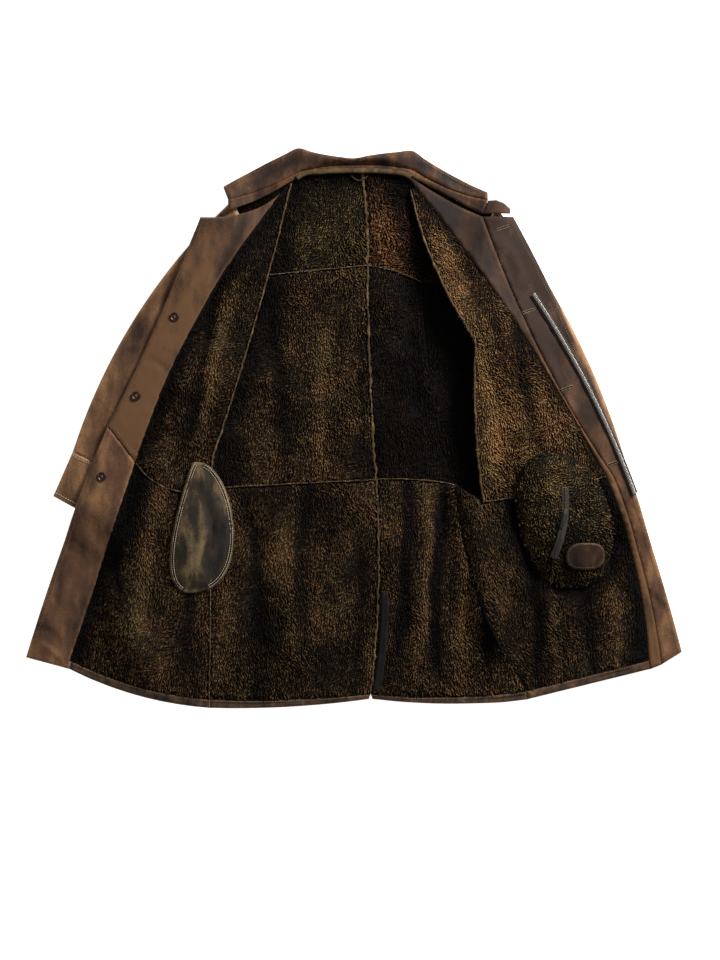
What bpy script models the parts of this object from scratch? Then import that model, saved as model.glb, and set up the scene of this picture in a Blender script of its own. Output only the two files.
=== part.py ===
"""Shearling coat, laid on its back with both fronts opened outwards over the sleeves.

Every panel is a wall between four edges. An edge is made of seams, and a seam is a bowed line
between two landmarks of the coat. Neighbours share their seam, so they meet all along it with
SEAM_GAP between them. Plans are in millimetres: X runs across the coat, Y from hem to neck, and
the zero is on the left back panel beside the back seam. Heights come from what a panel lies on
(floor, back, sleeve) and from a short table of folds.
"""
import math
from typing import NamedTuple

import bmesh
import bpy
from mathutils import Matrix, Vector
from mathutils.bvhtree import BVHTree

MM = 0.001
SEAM_GAP = 0.3
WALL = 8.0            # sheared pile on its skin
SUEDE_FACED = 7.0     # facing: the same skin with the suede side up
STRIP_EXTRA = 1.5     # the right facing's strip is turned under once more
LEATHER = 2.5         # single leather straps and patches
SLEEVE_WALL = 7.0
SLEEVE_HEIGHT = 27.0
SLEEVE_EDGE = 7.5     # height of the flattened sleeve's folded edges
SLEEVE_REST = 28.6    # underside of a front where it lies on a sleeve
SLEEVE_DROP = 60.0    # run over which a front comes down beside a sleeve
BACK_REST = 10.0      # underside of a front where it lies on the back
BACK_DROP = 30.0      # run over which a front comes down beside the back
COLLAR_ROLL = 26.0    # extra height of the collar's roll at the back of the neck
POCKET_THICK = 11.0
BAG_EDGE = 2.0        # thickness at a bag's rim
BAG_SEAT_REACH = 14.0
PATCH_THICK = 0.5
FINE_REACH = 2.5      # how far a small piece looks about for its highest support
ZIP_TAPE_WIDTH = 13.0
FRONT_TAPE_THICK = 1.2
POCKET_TAPE_THICK = 1.5
TEETH_WIDTH = 5.0
TEETH_HEIGHT = 2.2
SLIDER_WIDTH = 7.0
SLIDER_HEIGHT = 3.0
VENT_WIDTH = 14.0
BUTTON_RADIUS = 9.0
BUTTON_HEIGHT = 3.2
BUTTON_TAPER = 0.8
COLLAR_LIFT = 0.3     # collar above what carries it
TAB_LIFT = 1.0
HANGER_RADIUS = 1.6

# Where the skirt lies on the back's level, in X, and where it rises to lie as the fronts do.
SKIRT_MIDDLE_X = 180.0
LEFT_RISE = (-330.0, -262.0)
RIGHT_RISE = (236.0, 300.0)
CREST_BLEND = (186.0, 236.0)
SKIRT_FOLD_FADE = (-70.0, -160.0)
BACK_FOLD_FADE = (-89.0, -40.0)
BACK_REST_FADE = (-104.0, -62.0)
# Levels up the back, and the small widths that repeat.
NECK = 460
YOKE = 275
WAIST = -100
BAND = -475
HEM_BAND = 16
SEAT_GAP = 0.35       # between a piece and the panel that it lies on
BAG_SEAT_GAP = 0.6
STRIP = 13
VENT_HALF = 3


class Seam(NamedTuple):
    """A bowed line between two landmarks; bow is its rise to the left of its run."""
    segments: int
    start: str
    stop: str
    bow: float = 0.0


class Fold(NamedTuple):
    """A soft ridge; the shares say how much of its height is left at its two ends."""
    start: tuple
    stop: tuple
    bow: float
    half_width: float
    height: float
    start_share: float
    stop_share: float


class Bag(NamedTuple):
    """A rounded flat shape about an axis; lean moves its top sideways against its bottom.

    A taper draws one side in towards the top.
    """
    axis: float
    centre: float
    half_left: float
    half_right: float
    half_height: float
    lean: float
    squareness: float
    taper_left: float = 0.0
    taper_right: float = 0.0


BACK_MARKS = {
    "neck_left": (-90, NECK),
    "neck_centre": (15, NECK + 5),
    "neck_right": (90, NECK),
    "shoulder_left": (-220, NECK - 50),
    "shoulder_right": (255, NECK - 60),
    "armpit_left": (-185, YOKE),
    "armpit_right": (225, YOKE - 15),
    "yoke_centre": (25, YOKE + 20),
    "yoke_turn": (120, YOKE - 10),
    "waist_side_left": (-255, WAIST - 5),
    "waist_centre": (40, WAIST + 10),
    "waist_turn": (185, WAIST),
    "waist_side_right": (230, WAIST - 30),
    "band_side_left": (-260, BAND - 10),
    "band_centre": (30, BAND),
    "band_side_right": (310, BAND + 5),
}
FRONT_MARKS = {
    "fold_tip_left": (-110, 445),
    "fold_foot_left": (-253, -55),
    "edge_tip_left": (-120, 435),
    "fold_tip_right": (100, 430),
    "edge_tip_right": (110, 435),
    "fold_bend_right": (215, 155),
    "waist_edge_left": (-390, WAIST + 40),
    "waist_edge_right": (450, WAIST + 15),
    "band_edge_left": (-510, -415),
    "band_edge_right": (530, -415),
    "lapel_left": (-275, 380),
    "lapel_right": (285, 380),
    "notch_right": (230, 380),
    "strip_tip": (95, NECK - 3),
    "outer_turn_left": (-440, 5),
    "fly_waist": (450 + STRIP, WAIST + 15),
    "hem_corner_left": (-590, -410),
    "hem_corner_right": (590, -400),
}
HEM_MARKS = {
    "heel_left": (-512, -415 - HEM_BAND),
    "heel_right": (533, -415 - HEM_BAND),
    "hem_fly": (553, -423),
    "hem_side_left": (-260, BAND - 10 - HEM_BAND),
    "hem_side_right": (310, BAND + 5 - HEM_BAND),
    "vent_left": (30 - VENT_HALF, BAND - 10),
    "vent_right": (30 + VENT_HALF, BAND - 10),
}
SLEEVE_MARKS = {
    "cuff_outer_left": (-505, -40),
    "cuff_inner_left": (-370, -105),
    "cuff_inner_right": (340, -125),
    "cuff_outer_right": (490, -65),
    "mouth_outer_left": (-540, -120),
    "mouth_inner_left": (-410, -190),
    "mouth_inner_right": (370, -200),
    "mouth_outer_right": (510, -140),
}
COLLAR_MARKS = {
    "collar_point_left": (-235, 435),
    "collar_peak_left": (-100, 505),
    "collar_dip": (0, 485),
    "collar_peak_right": (105, 500),
    "collar_point_right": (240, 425),
    "crease_end_left": (-225, 410),
    "crease_left": (-100, NECK + 1),
    "crease_right": (105, NECK + 5),
    "crease_end_right": (240, 410),
    "stand_end_left": (-225, 390),
    "stand_end_right": (230, 385),
    "tab_tip_upper": (280, 395),
    "tab_tip_lower": (280, 385),
}
MARKS = {**BACK_MARKS, **FRONT_MARKS, **HEM_MARKS, **SLEEVE_MARKS, **COLLAR_MARKS}

BACK_SEAMS = {
    "shoulder_left": Seam(4, "shoulder_left", "neck_left"),
    "neck_back_left": Seam(4, "neck_left", "neck_centre", 2),
    "neck_back_right": Seam(4, "neck_centre", "neck_right", 2),
    "shoulder_right": Seam(6, "neck_right", "shoulder_right", 6),
    "armhole_left": Seam(6, "shoulder_left", "armpit_left", 12),
    "armhole_right": Seam(6, "shoulder_right", "armpit_right", -8),
    "yoke_seam_left": Seam(8, "armpit_left", "yoke_centre"),
    "yoke_seam_right": Seam(6, "yoke_centre", "yoke_turn", 5),
    "yoke_seam_under": Seam(4, "yoke_turn", "armpit_right"),
    "centre_yoke": Seam(6, "neck_centre", "yoke_centre", 3),
    "centre_body": Seam(9, "yoke_centre", "waist_centre", -4),
    "centre_skirt": Seam(9, "waist_centre", "band_centre", 9),
    "side_left_body": Seam(9, "armpit_left", "waist_side_left", -6),
    "side_right_body": Seam(9, "yoke_turn", "waist_turn", -15),
    "under_right": Seam(9, "armpit_right", "waist_side_right", 8),
    "side_left_skirt": Seam(9, "waist_side_left", "band_side_left"),
    "side_right_skirt": Seam(9, "waist_turn", "band_side_right", -27),
    "waist_back_left": Seam(8, "waist_side_left", "waist_centre"),
    "waist_back_right": Seam(6, "waist_centre", "waist_turn", 5),
    "waist_under": Seam(4, "waist_turn", "waist_side_right"),
}
FRONT_SEAMS = {
    "waist_front_left": Seam(8, "waist_edge_left", "waist_side_left", -26),
    "waist_front_right": Seam(10, "waist_side_right", "waist_edge_right", -4),
    "fold_left_upper": Seam(12, "fold_tip_left", "fold_foot_left", 6),
    "fold_left_lower": Seam(2, "fold_foot_left", "waist_side_left"),
    "fold_right_upper": Seam(7, "fold_tip_right", "fold_bend_right", -15),
    "fold_right_lower": Seam(7, "fold_bend_right", "waist_side_right", -8),
    "front_top_left": Seam(8, "edge_tip_left", "fold_tip_left"),
    "front_top_right": Seam(10, "fold_tip_right", "edge_tip_right"),
    "fur_edge_left_upper": Seam(14, "edge_tip_left", "waist_edge_left", -26),
    "fur_edge_left_lower": Seam(9, "waist_edge_left", "band_edge_left"),
    "fur_edge_right_top": Seam(2, "neck_right", "edge_tip_right"),
    "fur_edge_right_upper": Seam(14, "edge_tip_right", "waist_edge_right", 15),
    "fur_edge_right_lower": Seam(9, "waist_edge_right", "band_edge_right", 16),
    "outer_left_upper": Seam(14, "lapel_left", "outer_turn_left", 6),
    "outer_left_lower": Seam(10, "outer_turn_left", "hem_corner_left", -6),
    "fly_upper": Seam(13, "notch_right", "fly_waist", -18),
    "fly_lower": Seam(8, "fly_waist", "hem_fly", 12),
    "outer_right": Seam(21, "lapel_right", "hem_corner_right", 26),
    "lapel_left": Seam(6, "lapel_left", "edge_tip_left", -20),
    "lapel_right": Seam(4, "notch_right", "lapel_right"),
    "neck_tip_right": Seam(4, "neck_right", "strip_tip"),
    "neck_front_right": Seam(5, "strip_tip", "notch_right", -4),
    "diagonal": Seam(6, "outer_turn_left", "waist_edge_left"),
}
HEM_SEAMS = {
    "hem_facing_left": Seam(6, "hem_corner_left", "heel_left"),
    "hem_facing_strip": Seam(4, "heel_right", "hem_fly"),
    "hem_facing_fly": Seam(4, "hem_fly", "hem_corner_right"),
    "band_front_left": Seam(8, "band_edge_left", "band_side_left", -12),
    "band_back_left": Seam(8, "band_side_left", "band_centre", -5),
    "band_back_right": Seam(6, "band_centre", "band_side_right", -8),
    "band_front_right": Seam(14, "band_side_right", "band_edge_right"),
    "hem_front_left": Seam(8, "heel_left", "hem_side_left", -13),
    "hem_back_left": Seam(8, "hem_side_left", "vent_left", -6),
    "hem_back_right": Seam(6, "vent_right", "hem_side_right", -8),
    "hem_front_right": Seam(14, "hem_side_right", "heel_right"),
    "hem_end_left": Seam(1, "band_edge_left", "heel_left"),
    "band_end_left": Seam(1, "band_side_left", "hem_side_left"),
    "vent_edge_left": Seam(1, "band_centre", "vent_left"),
    "vent_edge_right": Seam(1, "band_centre", "vent_right"),
    "band_end_right": Seam(1, "band_side_right", "hem_side_right"),
    "hem_end_right": Seam(1, "band_edge_right", "heel_right"),
}
SLEEVE_SEAMS = {
    "sleeve_left_outer": Seam(10, "shoulder_left", "cuff_outer_left", -34),
    "sleeve_left_inner": Seam(10, "armpit_left", "cuff_inner_left", -4),
    "sleeve_right_inner": Seam(10, "armpit_right", "cuff_inner_right"),
    "sleeve_right_outer": Seam(10, "shoulder_right", "cuff_outer_right", 24),
    "cuff_seam_left": Seam(6, "cuff_outer_left", "cuff_inner_left"),
    "cuff_seam_right": Seam(6, "cuff_inner_right", "cuff_outer_right"),
    "cuff_left_outer": Seam(3, "cuff_outer_left", "mouth_outer_left"),
    "cuff_left_inner": Seam(3, "cuff_inner_left", "mouth_inner_left"),
    "cuff_right_inner": Seam(3, "cuff_inner_right", "mouth_inner_right"),
    "cuff_right_outer": Seam(3, "cuff_outer_right", "mouth_outer_right"),
    "cuff_mouth_left": Seam(6, "mouth_outer_left", "mouth_inner_left"),
    "cuff_mouth_right": Seam(6, "mouth_inner_right", "mouth_outer_right"),
}
COLLAR_SEAMS = {
    "collar_outer_1": Seam(6, "collar_point_left", "collar_peak_left", 3),
    "collar_outer_2": Seam(4, "collar_peak_left", "collar_dip", -3),
    "collar_outer_3": Seam(4, "collar_dip", "collar_peak_right", 2),
    "collar_outer_4": Seam(6, "collar_peak_right", "collar_point_right", -3),
    "crease_1": Seam(6, "crease_end_left", "crease_left", -4),
    "crease_2": Seam(8, "crease_left", "crease_right", 13),
    "crease_3": Seam(6, "crease_right", "crease_end_right", -7),
    "stand_left": Seam(6, "stand_end_left", "neck_left", -5),
    "stand_right": Seam(6, "neck_right", "stand_end_right"),
    "collar_end_left": Seam(4, "collar_point_left", "crease_end_left"),
    "collar_end_right": Seam(4, "collar_point_right", "crease_end_right"),
    "stand_end_left": Seam(3, "crease_end_left", "stand_end_left"),
    "stand_end_right": Seam(3, "crease_end_right", "stand_end_right"),
    "tab_top": Seam(3, "crease_end_right", "tab_tip_upper", 6),
    "tab_bottom": Seam(3, "stand_end_right", "tab_tip_lower"),
    "tab_tip": Seam(3, "tab_tip_upper", "tab_tip_lower"),
}
SEAMS = {**BACK_SEAMS, **FRONT_SEAMS, **HEM_SEAMS, **SLEEVE_SEAMS, **COLLAR_SEAMS}
FOLD_LEFT = ("fold_left_upper", "fold_left_lower")
FOLD_RIGHT = ("fold_right_upper", "fold_right_lower")
FLY_LINE = ("fly_upper", "fly_lower")
COLLAR_OUTER = ("collar_outer_1", "collar_outer_2", "collar_outer_3", "collar_outer_4")
COLLAR_CREASE = ("crease_1", "crease_2", "crease_3")
COLLAR_NECK = ("stand_left", "neck_back_left", "neck_back_right", "stand_right")

FOLD_SPREAD = 1.9     # a fold runs out at this many half widths
FOLD_STEPS = 8
SKIRT_FOLDS = (
    Fold((200, -100), (270, -480), 6, 24, 30, 0.8, 0.4),
    Fold((260, -205), (320, -300), -8, 26, 12, 0.65, 0.5),
    Fold((150, -115), (130, -420), -12, 26, 9, 0.55, 0.65),
    Fold((88, -110), (80, -440), 0, 24, 7, 0.7, 0.7),
    Fold((-325, -115), (-350, -450), -80, 30, 22, 0.25, 0.35),
    Fold((-130, -180), (-140, -450), 15, 34, 6, 0.5, 0.65),
)
FRONT_FOLDS = (
    Fold((350, 90), (345, -20), 7, 22, 9, 0.55, 0.65),
    Fold((-250, 150), (-330, -60), -6, 26, 6, 0.5, 0.65),
)
BACK_FOLDS = (
    Fold((-112, 250), (-108, -60), -12, 32, 4, 0.5, 0.75),
    Fold((78, 220), (100, -70), -5, 30, 5, 0.6, 0.8),
)
# The right front's free fold: how high it stands, and the levels where it has risen and died away.
CREST_TOP = 41.0
CREST_REACH = 80.0
CREST_NECK = 445.0
CREST_RISEN = 185.0
CREST_FULL = 60.0
CREST_END = -270.0
CREST_START_X = 60.0

POCKET_LEFT = Bag(-290, -176, 54, 88, 118, 5, 0.85, 0.75, 0.3)
POCKET_RIGHT = Bag(372, -164, 80, 88, 122, -22, 0.85)
POCKET_PATCH = Bag(414, -227, 36, 35, 24, 0, 0.6)
POCKET_ZIP = ((375, -105), (355, -230), 8)      # start, stop, bow
FRONT_ZIP = ((320, 240), (500, -115), 12)
BUTTON_ROW = ((-320, 200), (-450, -85), -4)
VENT_LINE = ((55, -290), (40, -470), 5)
HANGER_LINE = ((-5, NECK - 4), (25, NECK - 4), -9)

COLOURS = {
    "pile_dark": ((0.022, 0.012, 0.006), 0.95),
    "pile_tan": ((0.045, 0.026, 0.012), 0.95),
    "pile_olive": ((0.040, 0.028, 0.013), 0.95),
    "suede_brown": ((0.070, 0.038, 0.022), 0.85),
    "suede_tan": ((0.130, 0.075, 0.043), 0.85),
    "suede_olive": ((0.110, 0.082, 0.044), 0.85),
    "leather_dark": ((0.045, 0.025, 0.015), 0.60),
    "zip_metal": ((0.45, 0.43, 0.41), 0.35),
    "zip_tape": ((0.06, 0.055, 0.05), 0.90),
    "button_horn": ((0.030, 0.012, 0.010), 0.30),
}


def clear_scene():
    """Remove every object, so that the script can run in any open file."""
    for old in list(bpy.data.objects):
        bpy.data.objects.remove(old, do_unlink=True)


def make_material(name, colour_key):
    """Return a Principled material of its own for one piece."""
    (red, green, blue), roughness = COLOURS[colour_key]
    material = bpy.data.materials.new(name + "_finish")
    material.use_nodes = True
    shader = material.node_tree.nodes["Principled BSDF"]
    shader.inputs["Base Color"].default_value = (red, green, blue, 1.0)
    shader.inputs["Roughness"].default_value = roughness
    shader.inputs["Metallic"].default_value = 1.0 if colour_key == "zip_metal" else 0.0
    return material


def smoothstep(low, high, value):
    """Return a smooth 0 to 1 step of value from low to high; low may be the greater."""
    part = min(1.0, max(0.0, (value - low) / (high - low)))
    return part * part * (3.0 - 2.0 * part)


def bowed(start, stop, bow, steps=24):
    """Return a dense polyline that bows to the left of its run by bow at its middle."""
    start, stop = Vector(start), Vector(stop)
    run = (stop - start).normalized()
    side = Vector((-run.y, run.x))
    shares = [step / steps for step in range(steps + 1)]
    return [start.lerp(stop, t) + side * (bow * 4.0 * t * (1.0 - t)) for t in shares]


def even_points(dense, segments):
    """Return segments + 1 points at even lengths along a dense polyline."""
    lengths = [0.0]
    for first, second in zip(dense, dense[1:]):
        lengths.append(lengths[-1] + (second - first).length)
    result = []
    place = 0
    for index in range(segments + 1):
        target = lengths[-1] * index / segments
        while place < len(dense) - 2 and lengths[place + 1] < target:
            place += 1
        part = (target - lengths[place]) / max(1e-9, lengths[place + 1] - lengths[place])
        result.append(dense[place].lerp(dense[place + 1], min(1.0, part)))
    return result


def edge_points(names):
    """Join the named seam curves into one edge; a name that starts with ~ runs backwards."""
    joined = []
    for name in names:
        seam = SEAMS[name.lstrip("~")]
        part = even_points(bowed(MARKS[seam.start], MARKS[seam.stop], seam.bow), seam.segments)
        if name.startswith("~"):
            part.reverse()
        joined += part if not joined else part[1:]
    return joined


def patch(top, bottom, left, right):
    """Return rows of plan points spread between four edges (a Coons patch)."""
    top, bottom, left, right = (edge_points(names) for names in (top, bottom, left, right))
    columns, rows = len(top) - 1, len(left) - 1
    grid = []
    for row in range(rows + 1):
        v = row / rows
        line = []
        for column in range(columns + 1):
            u = column / columns
            point = ((1 - v) * top[column] + v * bottom[column]
                     + (1 - u) * left[row] + u * right[row]
                     - (1 - u) * (1 - v) * top[0] - u * (1 - v) * top[-1]
                     - (1 - u) * v * bottom[0] - u * v * bottom[-1])
            line.append(point)
        grid.append(line)
    return inset(grid, SEAM_GAP / 2)


def inset(grid, distance):
    """Move the rim of a grid of plan points inwards, square to the rim, by half a seam gap."""
    rows, columns = len(grid) - 1, len(grid[0]) - 1
    moved = [[point.copy() for point in line] for line in grid]

    def push(line, inner):
        """Move one side of the rim towards the line beside it."""
        for index, (row, column) in enumerate(line):
            before, after = line[max(index - 1, 0)], line[min(index + 1, len(line) - 1)]
            along = (grid[after[0]][after[1]] - grid[before[0]][before[1]]).normalized()
            middle = inner[len(inner) // 2]
            across = Vector((-along.y, along.x))
            inward = grid[inner[index][0]][inner[index][1]] - grid[row][column]
            turn = 1.0 if across.dot(inward) >= 0.0 else -1.0
            if abs(across.dot(inward)) < 1e-3:
                turn = 1.0 if across.dot(grid[middle[0]][middle[1]] - grid[row][column]) >= 0.0 else -1.0
            moved[row][column] += across * turn * distance

    for column, step in ((0, 1), (columns, -1)):
        push([(row, column) for row in range(rows + 1)], [(row, column + step) for row in range(rows + 1)])
    for row, step in ((0, 1), (rows, -1)):
        push([(row, column) for column in range(columns + 1)],
             [(row + step, column) for column in range(columns + 1)])
    return moved


def along_path(x, y, path, values):
    """Return the distance from a point to a path, and the value read off at the nearest place."""
    spot = Vector((x, y))
    best, value = 1e9, 0.0
    for index, (start, stop) in enumerate(zip(path, path[1:])):
        start, stop = Vector(start), Vector(stop)
        span = stop - start
        t = min(1.0, max(0.0, (spot - start).dot(span) / span.length_squared))
        gap = (spot - (start + t * span)).length
        if gap < best:
            best = gap
            value = values[index] * (1 - t) + values[index + 1] * t
    return best, value


def fold_line(fold):
    """Return a fold's path and its height at each point of it."""
    path = even_points(bowed(fold.start, fold.stop, fold.bow), FOLD_STEPS)
    heights = []
    for step in range(FOLD_STEPS + 1):
        t = step / FOLD_STEPS
        least = fold.start_share * (1 - t) + fold.stop_share * t
        heights.append(fold.height * (least + (1 - least) * math.sin(math.pi * t)))
    return path, heights


FOLD_LINES = {fold: fold_line(fold) for fold in SKIRT_FOLDS + FRONT_FOLDS + BACK_FOLDS}


def folds_height(x, y, folds):
    """Return the summed height of a table of folds at one place."""
    total = 0.0
    for fold in folds:
        gap, height = along_path(x, y, *FOLD_LINES[fold])
        share = max(0.0, 1.0 - (gap / (FOLD_SPREAD * fold.half_width)) ** 2)
        total += height * share ** 3
    return total


def signed_depth(x, y, outline):
    """Return how far inside a closed outline a point is, negative outside it."""
    best, inside = 1e18, False
    for (ax, ay), (bx, by) in zip(outline, outline[1:] + outline[:1]):
        dx, dy = bx - ax, by - ay
        t = ((x - ax) * dx + (y - ay) * dy) / max(1e-9, dx * dx + dy * dy)
        t = min(1.0, max(0.0, t))
        best = min(best, (x - ax - t * dx) ** 2 + (y - ay - t * dy) ** 2)
        if (ay > y) != (by > y) and x < ax + (y - ay) * dx / dy:
            inside = not inside
    depth = math.sqrt(best)
    return depth if inside else -depth


def outline_of(*edges):
    """Return a closed outline from edges given in order round it."""
    outline = []
    for names in edges:
        outline += [(point.x, point.y) for point in edge_points(names)[:-1]]
    return outline


SLEEVE_LEFT = outline_of(("armhole_left",), ("sleeve_left_inner", "cuff_left_inner"),
                         ("~cuff_mouth_left",), ("~cuff_left_outer", "~sleeve_left_outer"))
SLEEVE_RIGHT = outline_of(("sleeve_right_inner", "cuff_right_inner"), ("cuff_mouth_right",),
                          ("~cuff_right_outer", "~sleeve_right_outer"), ("armhole_right",))
BACK_ABOVE_WAIST = outline_of(
    ("shoulder_left", "neck_back_left", "neck_back_right", "shoulder_right"),
    ("armhole_right", "under_right"), ("~waist_under", "~waist_back_right", "~waist_back_left"),
    ("~side_left_body", "~armhole_left"))
CREST_LINE = [(point.x, point.y) for point in edge_points(FOLD_RIGHT)]


def back_height(x, y):
    """Return the underside of the back: on the floor but for its soft folds."""
    return folds_height(x, y, BACK_FOLDS) * smoothstep(*BACK_FOLD_FADE, y)


def under_fronts(x, y):
    """Return the height of what carries a front: floor, back or sleeve."""
    on_sleeve = 0.0
    for outline in (SLEEVE_LEFT, SLEEVE_RIGHT):
        depth = signed_depth(x, y, outline)
        on_sleeve = max(on_sleeve, SLEEVE_REST * smoothstep(-SLEEVE_DROP, 6.0, depth))
    on_back = BACK_REST * smoothstep(-BACK_DROP, -1.0, signed_depth(x, y, BACK_ABOVE_WAIST))
    on_back *= smoothstep(*BACK_REST_FADE, y)
    return max(on_sleeve, on_back)


def crest_height(x, y):
    """Return how far the right front's free fold holds it up."""
    if x < CREST_START_X:
        return 0.0
    gap, _ = along_path(x, y, CREST_LINE, [0.0] * len(CREST_LINE))
    rise = smoothstep(CREST_NECK, CREST_RISEN, y) * smoothstep(CREST_END, CREST_FULL, y)
    return CREST_TOP * rise * math.exp(-(gap / CREST_REACH) ** 2)


def front_height(x, y):
    """Return the underside of a front panel or a facing."""
    height = under_fronts(x, y) + folds_height(x, y, FRONT_FOLDS)
    return height + crest_height(x, y) + folds_height(x, y, SKIRT_FOLDS)


def skirt_height(x, y):
    """Return the underside of a skirt panel, back or front."""
    fade = smoothstep(*SKIRT_FOLD_FADE, y) if x < SKIRT_MIDDLE_X else 1.0
    side = smoothstep(*LEFT_RISE, x) if x < 0.0 else 1.0 - smoothstep(*RIGHT_RISE, x)
    fronts = under_fronts(x, y) * (1.0 - side) if abs(x) > SKIRT_MIDDLE_X else 0.0
    crest = crest_height(x, y) * smoothstep(*CREST_BLEND, x)
    return fronts + crest + folds_height(x, y, SKIRT_FOLDS) * max(fade, 1.0 - side)


def collar_height(x, y):
    """Return the underside of the collar, over shoulders and floor."""
    return under_fronts(x, y) + COLLAR_LIFT


def collar_roll(u, v):
    """Return the extra height of the fall's roll at a place across and down the collar."""
    across = math.exp(-((u - 0.5) / 0.24) ** 2)
    return COLLAR_ROLL * across * math.sin(math.pi * min(1.0, 0.25 + 0.75 * v)) ** 0.8


def wall_mesh(grid, low, thickness):
    """Build a closed wall: a grid of plan points with an underside and a top."""
    rows, columns = len(grid) - 1, len(grid[0]) - 1
    mesh = bmesh.new()
    top, under = [], []
    for row, line in enumerate(grid):
        top_line, under_line = [], []
        for column, point in enumerate(line):
            base = low(point.x, point.y)
            extra = thickness(column / columns, row / rows)
            under_line.append(mesh.verts.new(Vector((point.x, point.y, base)) * MM))
            top_line.append(mesh.verts.new(Vector((point.x, point.y, base + extra)) * MM))
        top.append(top_line)
        under.append(under_line)
    for row in range(rows):
        for column in range(columns):
            for sheet, turn in ((top, 1), (under, -1)):
                corners = [sheet[row][column], sheet[row + 1][column],
                           sheet[row + 1][column + 1], sheet[row][column + 1]]
                mesh.faces.new(corners[::turn])
    rim = ([(0, column) for column in range(columns)] + [(row, columns) for row in range(rows)]
           + [(rows, column) for column in range(columns, 0, -1)] + [(row, 0) for row in range(rows, 0, -1)])
    for (row, column), (next_row, next_column) in zip(rim, rim[1:] + rim[:1]):
        mesh.faces.new((top[row][column], top[next_row][next_column],
                        under[next_row][next_column], under[row][column]))
    return mesh


def add_object(name, mesh, colour_key, smooth=True):
    """Turn a bmesh into a named object with its own material."""
    bmesh.ops.recalc_face_normals(mesh, faces=mesh.faces)
    data = bpy.data.meshes.new(name)
    mesh.to_mesh(data)
    mesh.free()
    if smooth:
        data.shade_smooth()
        data.set_sharp_from_angle(angle=math.radians(40))
    data.materials.append(make_material(name, colour_key))
    piece = bpy.data.objects.new(name, data)
    bpy.context.scene.collection.objects.link(piece)
    return piece


def panel(name, colour_key, edges, low, wall=WALL):
    """Build one flat-cut panel from its four edges."""
    grid = patch(*edges)
    thickness = wall if callable(wall) else (lambda u, v: wall)
    return add_object(name, wall_mesh(grid, low, thickness), colour_key)


def build_back():
    """Build the back's six shearling panels."""
    panel("back_yoke_left", "pile_olive",
          (("shoulder_left", "neck_back_left"), ("yoke_seam_left",), ("armhole_left",), ("centre_yoke",)),
          back_height)
    panel("back_yoke_right", "pile_tan",
          (("neck_back_right", "shoulder_right"), ("yoke_seam_right", "yoke_seam_under"),
           ("centre_yoke",), ("armhole_right",)), back_height)
    panel("back_body_left", "pile_dark",
          (("yoke_seam_left",), ("waist_back_left",), ("side_left_body",), ("centre_body",)), back_height)
    panel("back_body_right", "pile_dark",
          (("yoke_seam_right",), ("waist_back_right",), ("centre_body",), ("side_right_body",)),
          back_height)
    panel("back_skirt_left", "pile_dark",
          (("waist_back_left",), ("band_back_left",), ("side_left_skirt",), ("centre_skirt",)),
          skirt_height)
    panel("back_skirt_right", "pile_dark",
          (("waist_back_right",), ("band_back_right",), ("centre_skirt",), ("side_right_skirt",)),
          skirt_height)


def build_fronts():
    """Build the fronts' shearling panels and the strip in the right front's deep fold."""
    panel("front_under_right", "pile_dark",
          (("yoke_seam_under",), ("waist_under",), ("side_right_body",), ("under_right",)), back_height)
    panel("front_body_left", "pile_dark",
          (("front_top_left",), ("waist_front_left",), ("fur_edge_left_upper",), FOLD_LEFT),
          front_height)
    panel("front_skirt_left", "pile_dark",
          (("waist_front_left",), ("band_front_left",), ("fur_edge_left_lower",), ("side_left_skirt",)),
          skirt_height)
    panel("front_body_right", "pile_tan",
          (("front_top_right",), ("waist_front_right",), FOLD_RIGHT, ("fur_edge_right_upper",)),
          front_height)
    panel("front_skirt_right", "pile_dark",
          (("waist_under", "waist_front_right"), ("band_front_right",), ("side_right_skirt",),
           ("fur_edge_right_lower",)), skirt_height)


def build_facings():
    """Build the suede-faced facings: two pieces on the left, strip and fly on the right."""
    panel("facing_left_upper", "suede_brown",
          (("lapel_left",), ("diagonal",), ("outer_left_upper",), ("fur_edge_left_upper",)),
          front_height, SUEDE_FACED)
    panel("facing_left_lower", "suede_brown",
          (("diagonal",), ("hem_facing_left",), ("outer_left_lower",),
           ("fur_edge_left_lower", "hem_end_left")), front_height, SUEDE_FACED)
    panel("facing_right_strip", "suede_brown",
          (("neck_tip_right",), ("hem_facing_strip",),
           ("fur_edge_right_top", "fur_edge_right_upper", "fur_edge_right_lower", "hem_end_right"),
           ("neck_front_right",) + FLY_LINE), front_height, SUEDE_FACED + STRIP_EXTRA)
    panel("facing_right_fly", "suede_brown",
          (("lapel_right",), ("hem_facing_fly",), FLY_LINE, ("outer_right",)),
          front_height, SUEDE_FACED)


def build_hem():
    """Build the leather bands that bind the hem."""
    panel("hem_band_front_left", "suede_tan",
          (("band_front_left",), ("hem_front_left",), ("hem_end_left",), ("band_end_left",)),
          skirt_height, SUEDE_FACED)
    panel("hem_band_back_left", "suede_tan",
          (("band_back_left",), ("hem_back_left",), ("band_end_left",), ("vent_edge_left",)),
          skirt_height, SUEDE_FACED)
    panel("hem_band_back_right", "suede_tan",
          (("band_back_right",), ("hem_back_right",), ("vent_edge_right",), ("band_end_right",)),
          skirt_height, SUEDE_FACED)
    panel("hem_band_front_right", "suede_tan",
          (("band_front_right",), ("hem_front_right",), ("band_end_right",), ("hem_end_right",)),
          skirt_height, SUEDE_FACED)


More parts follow.
